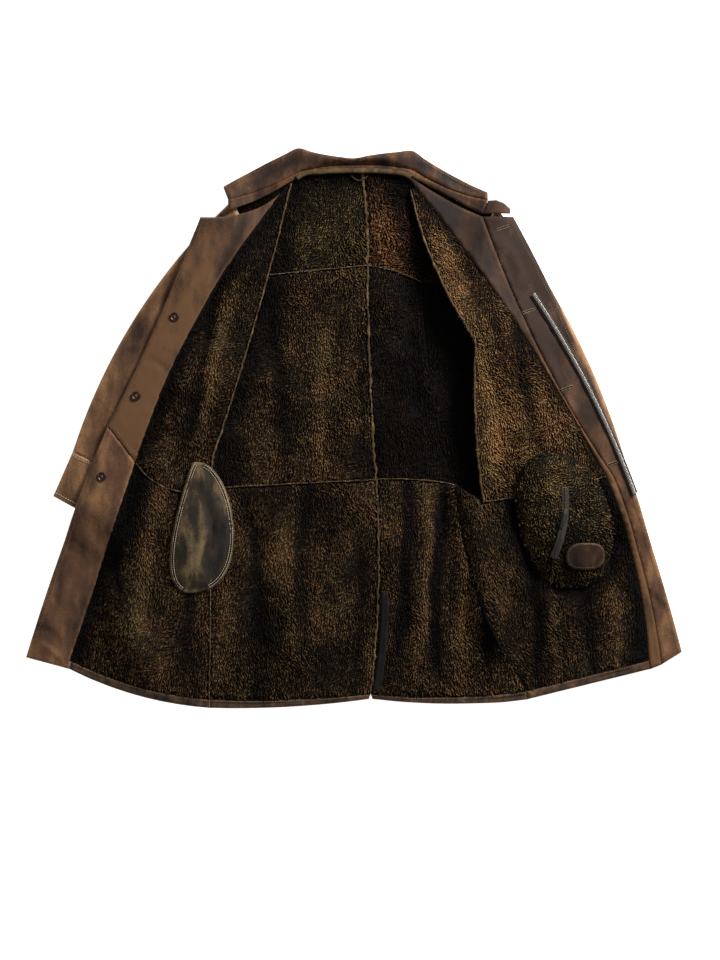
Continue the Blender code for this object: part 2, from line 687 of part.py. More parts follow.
def build_collar():
    """Build the collar's fall and stand, the throat tab and the hanger loop."""
    panel("collar_fall", "suede_brown",
          (COLLAR_OUTER, COLLAR_CREASE, ("collar_end_left",), ("collar_end_right",)),
          collar_height, lambda u, v: SUEDE_FACED + collar_roll(u, v))
    panel("collar_stand", "suede_brown",
          (COLLAR_CREASE, COLLAR_NECK, ("stand_end_left",), ("stand_end_right",)),
          collar_height, lambda u, v: SUEDE_FACED + collar_roll(u, 1.0) * (1 - v))
    panel("throat_tab", "suede_tan", (("tab_top",), ("tab_bottom",), ("stand_end_right",), ("tab_tip",)),
          lambda x, y: collar_height(x, y) + TAB_LIFT, LEATHER)
    build_hanger_loop()


def build_hanger_loop():
    """Build the narrow leather loop sewn in under the collar stand."""
    rise = WALL + SEAT_GAP + HANGER_RADIUS
    curve = bpy.data.curves.new("hanger_loop", "CURVE")
    curve.dimensions = "3D"
    curve.bevel_depth = HANGER_RADIUS * MM
    curve.bevel_resolution = 1
    curve.use_fill_caps = True
    line = curve.splines.new("POLY")
    dense = even_points(bowed(*HANGER_LINE), 16)
    line.points.add(len(dense) - 1)
    for point, place in zip(line.points, dense):
        point.co = (place.x * MM, place.y * MM, rise * MM, 1.0)
    curve.materials.append(make_material("hanger_loop", "leather_dark"))
    piece = bpy.data.objects.new("hanger_loop", curve)
    bpy.context.scene.collection.objects.link(piece)


def tube_halves(name, colour_key, edges, start, end):
    """Build a flattened sleeve or cuff as an upper and a lower wall that meet at its folds.

    start and end are the shares of the full height at its two open ends.
    """
    grid = patch(*edges)
    columns = len(grid[0]) - 1
    rows = len(grid) - 1

    def dome(u, v):
        share = 1.0 - (1.0 - start) * smoothstep(0.2, 0.0, v) - (1.0 - end) * smoothstep(0.0, 1.0, v)
        return share * (SLEEVE_HEIGHT - SLEEVE_WALL - SLEEVE_EDGE) * math.sin(math.pi * u) ** 0.6

    lower = wall_mesh(grid, lambda x, y: 0.0, lambda u, v: SLEEVE_WALL)
    add_object(name + "_under", lower, colour_key)
    upper = wall_mesh(grid, lambda x, y: 0.0, lambda u, v: SLEEVE_WALL)
    upper.verts.ensure_lookup_table()
    place = 0
    for row in range(rows + 1):
        for column in range(columns + 1):
            lift = (SLEEVE_EDGE + dome(column / columns, row / rows)) * MM
            upper.verts[place].co.z += lift
            upper.verts[place + 1].co.z += lift
            place += 2
    return add_object(name + "_top", upper, colour_key)


def build_sleeves():
    """Build both sleeves, with the cuffs, as flattened tubes that are open at both ends."""
    tube_halves("sleeve_left", "suede_tan",
                (("armhole_left",), ("cuff_seam_left",), ("sleeve_left_outer",), ("sleeve_left_inner",)),
                0.5, 1.0)
    tube_halves("cuff_left", "suede_tan",
                (("cuff_seam_left",), ("cuff_mouth_left",), ("cuff_left_outer",), ("cuff_left_inner",)),
                1.0, 0.6)
    tube_halves("sleeve_right", "suede_tan",
                (("~armhole_right",), ("cuff_seam_right",), ("sleeve_right_inner",),
                 ("sleeve_right_outer",)), 0.5, 1.0)
    tube_halves("cuff_right", "suede_tan",
                (("cuff_seam_right",), ("cuff_mouth_right",), ("cuff_right_inner",),
                 ("cuff_right_outer",)), 1.0, 0.6)


def top_finder(names):
    """Return a function that reads the highest built surface of the named panels at a place."""
    depsgraph = bpy.context.evaluated_depsgraph_get()
    trees = [BVHTree.FromObject(bpy.data.objects[name], depsgraph) for name in names]

    def top_at(x, y):
        """Return the surface height in millimetres, or None off the panels."""
        hits = [tree.ray_cast(Vector((x * MM, y * MM, 1.0)), Vector((0, 0, -1)))[0] for tree in trees]
        heights = [hit.z / MM for hit in hits if hit is not None]
        return max(heights) if heights else None

    return top_at


def seat(top_at, reach, clearance=SEAT_GAP):
    """Return an underside function: the highest surface within reach of a place, plus a gap."""
    def low(x, y):
        """Return the seated height in millimetres."""
        found = []
        for dx in (-reach, 0.0, reach):
            for dy in (-reach, 0.0, reach):
                height = top_at(x + dx, y + dy)
                if height is not None:
                    found.append(height)
        return max(found) + clearance
    return low


def bag_rim(bag, sides):
    """Return a bag's rim, going round from its top."""
    rim = []
    for index in range(sides):
        angle = 2 * math.pi * index / sides
        across, up = math.sin(angle), math.cos(angle)
        reach, taper = (bag.half_right, bag.taper_right) if across > 0 else (bag.half_left, bag.taper_left)
        reach *= 1.0 - taper * (1.0 + up) / 2
        x = math.copysign(abs(across) ** bag.squareness, across) * reach
        rim.append(Vector((bag.axis + x + bag.lean * up, bag.centre + bag.half_height * up)))
    return rim


def ring_patch(bag, rings, sides):
    """Return a bag's centre and rings of points from near it out to the rim."""
    rim = bag_rim(bag, sides)
    centre = sum(rim, Vector((0.0, 0.0))) / sides
    return centre, [[centre.lerp(point, (ring + 1) / rings) for point in rim] for ring in range(rings)]


def lying_bag(name, colour_key, bag, low, thickness, rings=5, sides=28):
    """Build a rounded flat bag, lying on the panels beneath."""
    centre, circles = ring_patch(bag, rings, sides)
    mesh = bmesh.new()

    def pair(point, share):
        base = low(point.x, point.y)
        bulge = thickness * math.sqrt(max(0.0, 1.0 - share ** 3))
        return (mesh.verts.new(Vector((point.x, point.y, base)) * MM),
                mesh.verts.new(Vector((point.x, point.y, base + BAG_EDGE + bulge)) * MM))

    hub = pair(centre, 0.0)
    levels = [[pair(point, (ring + 1) / rings) for point in circle] for ring, circle in enumerate(circles)]
    for side in range(sides):
        following = (side + 1) % sides
        for sheet in (0, 1):
            mesh.faces.new((hub[sheet], levels[0][side][sheet], levels[0][following][sheet]))
            for inner, outer in zip(levels, levels[1:]):
                mesh.faces.new((inner[side][sheet], outer[side][sheet],
                                outer[following][sheet], inner[following][sheet]))
        mesh.faces.new((levels[-1][side][0], levels[-1][following][0],
                        levels[-1][following][1], levels[-1][side][1]))
    return add_object(name, mesh, colour_key)


def strip(name, colour_key, line, width, segments, low, thickness):
    """Build a strip of even width along a dense line, lying on the panel beneath it."""
    centre = even_points(line, segments)
    grid = []
    for index, point in enumerate(centre):
        ahead = centre[min(index + 1, segments)] - centre[max(index - 1, 0)]
        side = Vector((-ahead.y, ahead.x)).normalized() * (width / 2)
        grid.append([point + side, point - side])
    return add_object(name, wall_mesh(grid, low, lambda u, v: thickness), colour_key)


SLIDER_SHARES = (0.30, 0.40)   # where the pocket zip's slider stands along the zip
PULL_LENGTH = 27.0


def build_pockets():
    """Build the two pocket bags, and the right one's zip and leather patch."""
    left_panels = ("front_skirt_left", "front_body_left", "back_skirt_left", "back_body_left")
    under_left = seat(top_finder(left_panels), BAG_SEAT_REACH, BAG_SEAT_GAP)
    under_right = seat(top_finder(("front_skirt_right", "front_body_right", "facing_right_strip")),
                       BAG_SEAT_REACH, BAG_SEAT_GAP)
    lying_bag("pocket_bag_left", "suede_olive", POCKET_LEFT, under_left, POCKET_THICK)
    lying_bag("pocket_bag_right", "pile_olive", POCKET_RIGHT, under_right, POCKET_THICK)
    on_bag = seat(top_finder(("pocket_bag_right",)), FINE_REACH)
    line = bowed(*POCKET_ZIP)
    strip("pocket_zip_tape", "zip_tape", line, ZIP_TAPE_WIDTH, 10, on_bag, POCKET_TAPE_THICK)
    on_tape = seat(top_finder(("pocket_zip_tape",)), FINE_REACH)
    places = even_points(line, 100)
    first, last = (places[round(share * 100)] for share in SLIDER_SHARES)
    strip("pocket_zip_slider", "zip_metal", [first, last], SLIDER_WIDTH, 2, on_tape, SLIDER_HEIGHT)
    root = first.lerp(last, 0.5)
    build_zip_pull(root, root + (places[-1] - root).normalized() * PULL_LENGTH)
    lying_bag("pocket_patch", "leather_dark", POCKET_PATCH, on_bag, PATCH_THICK, rings=4, sides=24)


def build_zip_pull(root, tip):
    """Build the pocket zip's straight pull tab, with its origin on its hinge at the slider."""
    length, width, thickness, clearance, overhang = PULL_LENGTH, 5.0, 1.2, 0.45, 0.5
    surface = top_finder(("pocket_zip_slider", "pocket_zip_tape", "pocket_bag_right"))
    on_slider = seat(surface, 3.0, clearance)
    samples = 12
    root, tip = Vector(root), Vector(tip)
    root_height = on_slider(*root) + thickness / 2
    tip_height = seat(surface, 3.0, clearance)(*tip) + thickness / 2
    lift = 0.0
    for step in range(samples + 1):
        place = root.lerp(tip, step / samples)
        line = root_height + (tip_height - root_height) * step / samples
        lift = max(lift, on_slider(*place) + thickness / 2 - line)
    start = Vector((root.x, root.y, root_height + lift))
    along = (Vector((tip.x, tip.y, tip_height + lift)) - start).normalized()
    across = Vector((0, 0, 1)).cross(along).normalized()
    mesh = bmesh.new()
    bmesh.ops.create_cube(mesh, size=1.0)
    for vert in mesh.verts:
        vert.co = Vector(((vert.co.x + 0.5) * (length + overhang) - overhang,
                          vert.co.y * width, vert.co.z * thickness)) * MM
    pull = add_object("pocket_zip_pull", mesh, "zip_metal", smooth=False)
    pull.location = start * MM
    pull.rotation_euler = Matrix((along, across, along.cross(across))).transposed().to_euler()


def build_fastenings():
    """Build the front zip on the right fly, and the buttons on the left facing."""
    on_fly = seat(top_finder(("facing_right_fly",)), 3.0)
    zip_path = bowed(*FRONT_ZIP)
    strip("front_zip_tape", "zip_tape", zip_path, ZIP_TAPE_WIDTH, 30, on_fly, FRONT_TAPE_THICK)
    on_tape = seat(top_finder(("front_zip_tape",)), FINE_REACH)
    strip("front_zip_teeth", "zip_metal", zip_path, TEETH_WIDTH, 30, on_tape, TEETH_HEIGHT)
    on_facing = seat(top_finder(("facing_left_upper", "facing_left_lower")), 8.0)
    sides = 20
    for number, (x, y) in enumerate(even_points(bowed(*BUTTON_ROW), 2), start=1):
        mesh = bmesh.new()
        bmesh.ops.create_cone(mesh, cap_ends=True, segments=sides, radius1=BUTTON_RADIUS * MM,
                              radius2=BUTTON_RADIUS * BUTTON_TAPER * MM, depth=BUTTON_HEIGHT * MM)
        button = add_object("button_%d" % number, mesh, "button_horn")
        button.location = Vector((x, y, on_facing(x, y) + BUTTON_HEIGHT / 2)) * MM


def build_vent():
    """Build the leather underlay strip beside the back vent."""
    on_skirt = seat(top_finder(("back_skirt_right",)), 6.0)
    strip("vent_underlay", "leather_dark", bowed(*VENT_LINE), VENT_WIDTH, 12, on_skirt, LEATHER)


def main():
    """Build the whole coat."""
    clear_scene()
    build_back()
    build_fronts()
    build_facings()
    build_hem()
    build_sleeves()
    build_collar()
    bpy.context.view_layer.update()
    build_pockets()
    build_fastenings()
    build_vent()


if __name__ == "__main__":
    main()
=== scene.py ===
"""Shearling coat laid open on its back: the finish of every panel, its pile, stitching and metal.

All lengths are in metres. Every panel, seam and place comes from the frame's nodes: X runs across
the coat, Y from hem to neck.
"""

import logging
import math
from dataclasses import dataclass, field
from enum import Enum
from typing import Callable, Sequence

import bmesh
import bpy
import numpy as np
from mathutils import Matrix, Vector
from mathutils.bvhtree import BVHTree
from mathutils.geometry import delaunay_2d_cdt
from mathutils.kdtree import KDTree


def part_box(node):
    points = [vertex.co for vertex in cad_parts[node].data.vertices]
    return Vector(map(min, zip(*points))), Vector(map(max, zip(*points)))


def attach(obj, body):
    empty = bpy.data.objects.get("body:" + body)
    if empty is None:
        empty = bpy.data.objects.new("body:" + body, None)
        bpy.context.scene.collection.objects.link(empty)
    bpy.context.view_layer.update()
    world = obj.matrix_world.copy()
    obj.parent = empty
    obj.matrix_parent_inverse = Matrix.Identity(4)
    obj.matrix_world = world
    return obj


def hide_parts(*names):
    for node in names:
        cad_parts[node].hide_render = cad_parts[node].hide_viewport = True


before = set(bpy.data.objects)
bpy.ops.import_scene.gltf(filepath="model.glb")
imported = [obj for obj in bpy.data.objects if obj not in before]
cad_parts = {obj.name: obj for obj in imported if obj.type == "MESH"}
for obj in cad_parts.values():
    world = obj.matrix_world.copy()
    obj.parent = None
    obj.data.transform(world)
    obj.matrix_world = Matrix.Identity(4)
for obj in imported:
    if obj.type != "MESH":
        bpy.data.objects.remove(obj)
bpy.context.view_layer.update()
LOG = logging.getLogger("shearling_coat")
MM = 0.001
BODY = "coat"
PULL_BODY = "zip_pull"

Array = np.ndarray


# --------------------------------------------------------------------------- cloth read from the frame

def smooth_line(knots: Array, steps: int = 10) -> Array:
    """Draw a smooth line through a few places.

    Args:
        knots: Places on the line, one a row.
        steps: Points made on each span.

    Returns:
        The line's points, one a row.
    """
    if len(knots) == 2:
        return knots
    ends = np.vstack([2 * knots[0] - knots[1], knots, 2 * knots[-1] - knots[-2]])
    spans = np.maximum(np.linalg.norm(np.diff(ends, axis=0), axis=1), 1e-9)
    line = [knots[:1]]
    t = (np.arange(1, steps + 1) / steps)[:, None]
    for index in range(len(knots) - 1):
        before, start, stop, after = ends[index:index + 4]
        length = spans[index + 1]
        leave = (stop - before) * length / (spans[index] + length)
        arrive = (after - start) * length / (spans[index + 2] + length)
        line.append((2 * t ** 3 - 3 * t ** 2 + 1) * start + (t ** 3 - 2 * t ** 2 + t) * leave
                    + (3 * t ** 2 - 2 * t ** 3) * stop + (t ** 3 - t ** 2) * arrive)
    return np.vstack(line)


def line_length(line: Array) -> float:
    """Return a line's length."""
    return float(np.linalg.norm(np.diff(line, axis=0), axis=1).sum())


def along(line: Array, shares: Array) -> Array:
    """Read a line at shares of its length from 0 to 1."""
    lengths = np.concatenate([[0.0], np.cumsum(np.linalg.norm(np.diff(line, axis=0), axis=1))])
    places = shares * lengths[-1]
    return np.stack([np.interp(places, lengths, line[:, axis]) for axis in range(line.shape[1])], axis=-1)


def evenly(line: Array, spacing: float) -> Array:
    """Return points about one spacing apart along a line, both ends among them."""
    count = max(1, round(line_length(line) / spacing))
    return along(line, np.linspace(0, 1, count + 1))


def smoothstep(low: float, high: float, value: Array) -> Array:
    """Return a smooth 0 to 1 step of value from low to high."""
    part = np.clip((np.asarray(value, float) - low) / (high - low), 0.0, 1.0)
    return part * part * (3 - 2 * part)


def value_noise(plan: Array, size: float, seed: int) -> Array:
    """Return smooth random values from -1 to 1 over plan points.

    Args:
        plan: Points, X and Y last.
        size: Width of one lump in metres.
        seed: Picks the pattern.

    Returns:
        One value a point.
    """
    lattice = np.random.default_rng(seed).uniform(-1, 1, (257, 257))
    place = plan / size + 131.7 + seed * 3.1
    base = np.floor(place).astype(int)
    part = place - base
    part = part * part * (3 - 2 * part)
    x, y = base[..., 0] % 256, base[..., 1] % 256
    fx, fy = part[..., 0], part[..., 1]
    low = lattice[x, y] * (1 - fx) + lattice[x + 1, y] * fx
    high = lattice[x, y + 1] * (1 - fx) + lattice[x + 1, y + 1] * fx
    return low * (1 - fy) + high * fy


def tree_of(points: Array) -> KDTree:
    """Return a search tree over points."""
    tree = KDTree(len(points))
    for index, point in enumerate(points):
        tree.insert((point[0], point[1], 0.0), index)
    tree.balance()
    return tree


def nearest(points: Array, tree: KDTree) -> tuple[Array, Array]:
    """Return each plan point's distance to the tree's nearest point, and that point's number."""
    found = [tree.find((x, y, 0.0)) for x, y in points[:, :2]]
    return np.array([hit[2] for hit in found]), np.array([hit[1] for hit in found])


@dataclass
class Cloth:
    """One cloth piece read from its CAD node and cut finer.

    Args:
        node: The CAD node.
        cell: Spacing of the finer points in metres.
    """
    node: str
    cell: float = 4.0 * MM
    corner: float = 32.0
    plan: Array = field(init=False)
    top: Array = field(init=False)
    under: Array = field(init=False)
    faces: Array = field(init=False)
    loop: Array = field(init=False)
    rim: Array = field(init=False)
    corners: list[int] = field(init=False)

    def __post_init__(self) -> None:
        """Read the node, then cut its plan finer and settle its heights."""
        points, triangles, rise = self.read_node()
        crown, under = triangles[rise > 0.05], triangles[rise < -0.05]
        outline = self.coarse_outline(points[:, :2], crown)
        self.cut(self.fine_outline(points[outline, :2]))
        self.top = self.ease(self.settle(points, crown))
        self.under = self.ease(self.settle(points, under))

    def read_node(self) -> tuple[Array, Array, Array]:
        """Return the node's welded points, its triangles, and how far each one faces up."""
        mesh = bmesh.new()
        mesh.from_mesh(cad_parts[self.node].data)
        bmesh.ops.remove_doubles(mesh, verts=mesh.verts, dist=0.02 * MM)
        bmesh.ops.triangulate(mesh, faces=mesh.faces)
        mesh.verts.index_update()
        mesh.normal_update()
        points = np.array([tuple(vert.co) for vert in mesh.verts])
        triangles = np.array([[vert.index for vert in face.verts] for face in mesh.faces])
        rise = np.array([face.normal.z for face in mesh.faces])
        mesh.free()
        return points, triangles, rise

    @staticmethod
    def coarse_outline(coarse: Array, triangles: Array) -> Array:
        """Return the numbers of the rim's points in order, anticlockwise."""
        seen: dict[tuple[int, int], int] = {}
        for a, b, c in triangles.tolist():
            for start, stop in ((a, b), (b, c), (c, a)):
                seen[(start, stop)] = 1
        following = {start: stop for start, stop in seen if (stop, start) not in seen}
        loop: list[int] = []
        while following:
            start = next(iter(following))
            walk = [start]
            stop = following.pop(start)
            while stop != start and stop in following:
                walk.append(stop)
                stop = following.pop(stop)
            loop = walk if len(walk) > len(loop) else loop
        points = coarse[loop]
        turned = np.roll(points, -1, axis=0)
        area = (points[:, 0] * turned[:, 1] - points[:, 1] * turned[:, 0]).sum()
        return np.array(loop if area > 0 else loop[::-1])

    def fine_outline(self, knots: Array) -> Array:
        """Return the rim's finer points, smooth between its corners."""
        before, after = knots - np.roll(knots, 1, axis=0), np.roll(knots, -1, axis=0) - knots
        turn = np.abs(np.degrees(np.arctan2(before[:, 0] * after[:, 1] - before[:, 1] * after[:, 0],
                                            (before * after).sum(1))))
        found = np.flatnonzero(turn > self.corner)
        if len(found) == 0:
            closed = np.vstack([knots[-2:], knots, knots[:3]])
            line = smooth_line(closed)[20:-20]
            self.corners = [0]
            return evenly(line, self.cell)[:-1]
        parts, self.corners, count = [], [], 0
        for start, stop in zip(found, np.roll(found, -1)):
            span = np.arange(start, stop + 1) if stop > start else np.r_[start:len(knots), 0:stop + 1]
            part = evenly(smooth_line(knots[span]), self.cell)[:-1]
            self.corners.append(count)
            count += len(part)
            parts.append(part)
        return np.vstack(parts)

    def cut(self, rim: Array) -> None:
        """Fill the rim with points one cell apart and join them into triangles."""
        low, high = rim.min(0), rim.max(0)
        row = self.cell * math.sqrt(3) / 2
        ys = np.arange(low[1] + row / 2, high[1], row)
        xs = np.arange(low[0], high[0], self.cell)
        grid = np.array([(x + (index % 2) * self.cell / 2, y) for index, y in enumerate(ys) for x in xs])
        inside = np.zeros(len(grid), bool)
        x, y = grid[:, 0], grid[:, 1]
        for (ax, ay), (bx, by) in zip(rim, np.roll(rim, -1, axis=0)):
            if ay != by:
                inside ^= ((ay > y) != (by > y)) & (x < ax + (y - ay) * (bx - ax) / (by - ay))
        grid = grid[inside]
        away, _ = nearest(grid, tree_of(rim))
        grid = grid[away > 0.62 * self.cell]
        points = np.vstack([rim, grid])
        edges = [(index, (index + 1) % len(rim)) for index in range(len(rim))]
        made = delaunay_2d_cdt([Vector(point) for point in points.tolist()], edges, [], 1, 1e-7)
        self.plan = np.array([tuple(point) for point in made[0]])
        faces = np.array([face for face in made[2] if len(face) == 3])
        a, b, c = (self.plan[faces[:, k]] for k in range(3))
        turned = (b - a)[:, 0] * (c - a)[:, 1] - (b - a)[:, 1] * (c - a)[:, 0] < 0
        faces[turned] = faces[turned][:, ::-1]
        self.faces = faces
        origin = {old: index for index, olds in enumerate(made[3]) for old in olds}
        self.loop = np.array([origin[index] for index in range(len(rim))])
        self.rim, _ = nearest(self.plan, tree_of(rim))

    def settle(self, points: Array, triangles: Array) -> Array:
        """Return the height at each plan point of the node's faces above or below it."""
        flat = [(x, y, 0.0) for x, y in points[:, :2].tolist()]
        carrier = BVHTree.FromPolygons(flat, triangles.tolist())
        hits = [carrier.find_nearest((x, y, 0.0)) for x, y in self.plan]
        place = np.array([(hit[0].x, hit[0].y) for hit in hits])
        corners = triangles[[hit[2] for hit in hits]]
        a, b, c = (points[corners[:, k], :2] for k in range(3))
        area = (b - a)[:, 0] * (c - a)[:, 1] - (b - a)[:, 1] * (c - a)[:, 0]
        area = np.where(np.abs(area) < 1e-14, 1e-14, area)
        second = ((place - a)[:, 0] * (c - a)[:, 1] - (place - a)[:, 1] * (c - a)[:, 0]) / area
        third = ((b - a)[:, 0] * (place - a)[:, 1] - (b - a)[:, 1] * (place - a)[:, 0]) / area
        shares = np.clip(np.stack([1 - second - third, second, third], -1), 0, 1)
        shares /= shares.sum(1, keepdims=True)
        return (points[corners, 2] * shares).sum(1)

    def ease(self, values: Array, rounds: int = 14) -> Array:
        """Return values smoothed over the cloth; the rim is smoothed along itself only."""
        starts, stops = self.links()
        count = np.bincount(starts, minlength=len(values))
        on_rim = np.zeros(len(values), bool)
        on_rim[self.loop] = True
        fixed = self.loop[self.corners]
        for _ in range(rounds):
            total = np.bincount(starts, weights=values[stops], minlength=len(values))
            eased = (values + total / np.maximum(count, 1)) / 2
            rim = values[self.loop]
            eased[self.loop] = (2 * rim + np.roll(rim, 1) + np.roll(rim, -1)) / 4
            eased[fixed] = values[fixed]
            values = eased
        return values

    def links(self) -> tuple[Array, Array]:
        """Return both ends of every edge, each edge in both directions."""
        edges = np.vstack([self.faces[:, [0, 1]], self.faces[:, [1, 2]], self.faces[:, [2, 0]]])
        edges = np.unique(np.sort(edges, axis=1), axis=0)
        return np.r_[edges[:, 0], edges[:, 1]], np.r_[edges[:, 1], edges[:, 0]]

    def share(self) -> Array:
        """Return each point's place in the cloth's box: 0 to 1 across, and 0 to 1 from neck to hem."""
        low, high = self.plan.min(0), self.plan.max(0)
        part = (self.plan - low) / (high - low)
        return np.stack([part[:, 0], 1 - part[:, 1]], -1)

    def crown(self, radius: float) -> Array:
        """Return how far the top sinks near the rim, as a rounded edge of this radius does."""
        away = np.clip(radius - self.rim, 0, radius)
        return radius - np.sqrt(np.maximum(radius ** 2 - away ** 2, 0))

    def height_at(self, points: Array) -> Array:
        """Return the top's height at plan points."""
        if not hasattr(self, "finder"):
            self.finder = tree_of(self.plan)
        _, numbers = nearest(points, self.finder)
        return self.top[numbers]

    def inward(self) -> Array:
        """Return the direction into the cloth at each point of its rim."""
        rim = self.plan[self.loop]
        ahead = np.roll(rim, -1, axis=0) - np.roll(rim, 1, axis=0)
        ahead /= np.maximum(np.linalg.norm(ahead, axis=1, keepdims=True), 1e-9)
        return np.stack([-ahead[:, 1], ahead[:, 0]], -1)

    def run_beside(self, other: "Cloth | None", inset: float = 0.0, lift: float = 0.0,
                   reach: float = 3.0 * MM) -> Array:
        """Return the stretch of rim that meets another cloth, as 3-D points on the top.

        Args:
            other: The neighbour.
            inset: How far inside the rim the line runs.
            lift: How far above the top it lies.
            reach: How near the neighbour's rim counts as meeting.

        Returns:
            The longest such stretch, in order.
        """
        rim = self.plan[self.loop]
        away, _ = nearest(rim, tree_of(other.plan[other.loop]))
        return self.longest_run(away < reach, inset, lift)

    def longest_run(self, chosen: Array, inset: float = 0.0, lift: float = 0.0) -> Array:
        """Return the longest stretch of rim where chosen holds, moved in and lifted."""
        count = len(chosen)
        if not chosen.any():
            raise ValueError(self.node + " has no such stretch of rim")
        start = int(np.argmin(chosen)) if not chosen.all() else 0
        best: list[int] = []
        current: list[int] = []
        for step in range(count + 1):
            index = (start + step) % count
            if chosen[index] and step < count:
                current.append(index)
            else:
                best = current if len(current) > len(best) else best
                current = []
        rim = self.plan[self.loop]
        line = rim[best] + self.inward()[best] * inset
        if len(line) > 6:
            kernel = np.array([1, 2, 3, 2, 1]) / 9
            padded = np.vstack([2 * line[0] - line[2:0:-1], line, 2 * line[-1] - line[-2:-4:-1]])
            line = np.stack([np.convolve(padded[:, k], kernel, "valid") for k in range(2)], -1)
        return np.column_stack([line, self.height_at(line) + lift])

    def sides(self) -> list[Array]:
        """Return the rim's stretches from corner to corner, in plan."""
        rim = self.plan[self.loop]
        stops = self.corners[1:] + [len(rim)]
        return [rim[np.r_[start:stop, stop % len(rim)]] for start, stop in zip(self.corners, stops)]

    def centreline(self) -> Array:
        """Return the middle line of a strip, midway between its two longest sides."""
        first, second = sorted(self.sides(), key=line_length)[-2:]
        shares = np.linspace(0, 1, 120)
        line = (along(first, shares) + along(second[::-1], shares)) / 2
        return np.column_stack([line, self.height_at(line)])

    def strip_cut(self) -> tuple[tuple[float, float], float]:
        """Return a bent strip's flat width and length, and its area, as cut straight."""
        _, area = self.flat_cut()
        length = line_length(self.centreline())
        return (area / length * 1.02, length), area

    def flat_cut(self) -> tuple[tuple[float, float], float]:
        """Return the cut's flat width and length, and its area, from the settled top."""
        points = np.column_stack([self.plan, self.top])
        a, b, c = (points[self.faces[:, k]] for k in range(3))
        area = float(np.linalg.norm(np.cross(b - a, c - a), axis=1).sum() / 2)
        best = None
        for angle in np.radians(np.arange(0, 180, 3)):
            turned = self.plan @ np.array([[math.cos(angle), -math.sin(angle)],
                                           [math.sin(angle), math.cos(angle)]])
            size = turned.max(0) - turned.min(0)
            if best is None or size[0] * size[1] < best[0] * best[1]:
                best = size
        flat_area = float(np.abs((b - a)[:, 0] * (c - a)[:, 1] - (b - a)[:, 1] * (c - a)[:, 0]).sum() / 2)
        best = best * math.sqrt(area / flat_area)
        return (float(best.min()), float(best.max())), area

    def build(self, name: str, lift: Array | None = None, edge: float = 2.0 * MM) -> bpy.types.Object:
        """Build the cloth as a closed wall.

        Args:
            name: The piece's name.
            lift: What the top rises by at each point.
            edge: Radius of its rounded edge.

        Returns:
            The wall: its top in material slot 0, its rim and underside in slot 1.
        """
        top = self.top - self.crown(edge) + (0.0 if lift is None else lift)
        top = np.maximum(top, self.under + 0.8 * MM)
        count = len(self.plan)
        points = np.vstack([np.column_stack([self.plan, top]), np.column_stack([self.plan, self.under])])
        after = np.roll(self.loop, -1)
        sides = np.stack([self.loop, self.loop + count, after + count, after], -1)
        low = self.plan.min(0)
        scale = 0.46 / (self.plan.max(0) - low).max()
        mapped = (self.plan - low) * scale + 0.015
        turned = np.zeros_like(mapped)
        turned[self.loop] = -self.inward() * 2 * MM * scale
        uv_top = mapped
        uv_under = mapped + np.array([0.5, 0.0])
        faces = self.faces.tolist() + (self.faces[:, ::-1] + count).tolist() + sides.tolist()
        rim_uv = np.stack([mapped[self.loop], (mapped + turned)[self.loop],
                           (mapped + turned)[after], mapped[after]], 1).reshape(-1, 2)
        uv = np.vstack([uv_top[self.faces.ravel()], uv_under[self.faces[:, ::-1].ravel()], rim_uv])
        piece = link_mesh(name, points, faces, uv)
        slots = np.ones(len(faces), np.int32)
        slots[:len(self.faces)] = 0
        piece.data.polygons.foreach_set("material_index", slots)
        self.lifted = top
        return piece


@dataclass(frozen=True)
class Crease:
    """A soft trough or ridge, placed in the shares of its panel's box.

    Args:
        start: Where it begins: share across, and share from neck to hem.
        stop: Where it ends.
        height: Its height in metres, negative for a trough.
        width: Its half width in metres.
        bow: How far it bows sideways, as a share of its length.
    """
    start: tuple[float, float]
    stop: tuple[float, float]
    height: float
    width: float = 9.0 * MM
    bow: float = 0.0

    def lift(self, cloth: Cloth) -> Array:
        """Return the crease's height over a cloth, swelling and dying unevenly along its run."""
        low, high = cloth.plan.min(0), cloth.plan.max(0)
        size = high - low
        start = np.array([low[0] + self.start[0] * size[0], high[1] - self.start[1] * size[1]])
        stop = np.array([low[0] + self.stop[0] * size[0], high[1] - self.stop[1] * size[1]])
        span = stop - start
        length = float(np.hypot(*span))
        run = span / length
        side = np.array([-run[1], run[0]])
        away = cloth.plan - start
        t = np.clip(away @ run / length, -0.3, 1.3)
        middle = self.bow * length * 4 * t * (1 - t)
        wander = value_noise(cloth.plan, 45 * MM, int(abs(self.start[0] * 91 + self.stop[1] * 57)) + 3) * 5 * MM
        gap = away @ side - middle + wander
        ends = smoothstep(-0.18, 0.22, t) * (1 - smoothstep(0.72, 1.15, t))
        return self.height * ends * np.exp(-(gap / self.width) ** 2)


# --------------------------------------------------------------------------- finishes

def linear(colour: str) -> tuple[float, float, float, float]:
    """Turn an sRGB hex colour into linear RGBA."""
    channels = [int(colour[index:index + 2], 16) / 255 for index in (1, 3, 5)]
    return (*((c / 12.92 if c <= 0.04045 else ((c + 0.055) / 1.055) ** 2.4) for c in channels), 1.0)


def add_node(tree: bpy.types.NodeTree, kind: str, links: dict | None = None, **settings) -> bpy.types.Node:
    """Add a node.

    Args:
        tree: The tree that takes it.
        kind: The node's type name.
        links: Input name or number, mapped to a socket to link or a value to set.
        settings: Attributes set on the node first.

    Returns:
        The new node.
    """
    node = tree.nodes.new(kind)
    for name, value in settings.items():
        setattr(node, name, value)
    for key, value in (links or {}).items():
        socket = node.inputs[key]
        if isinstance(value, bpy.types.NodeSocket):
            tree.links.new(value, socket)
        else:
            socket.default_value = value
    return node


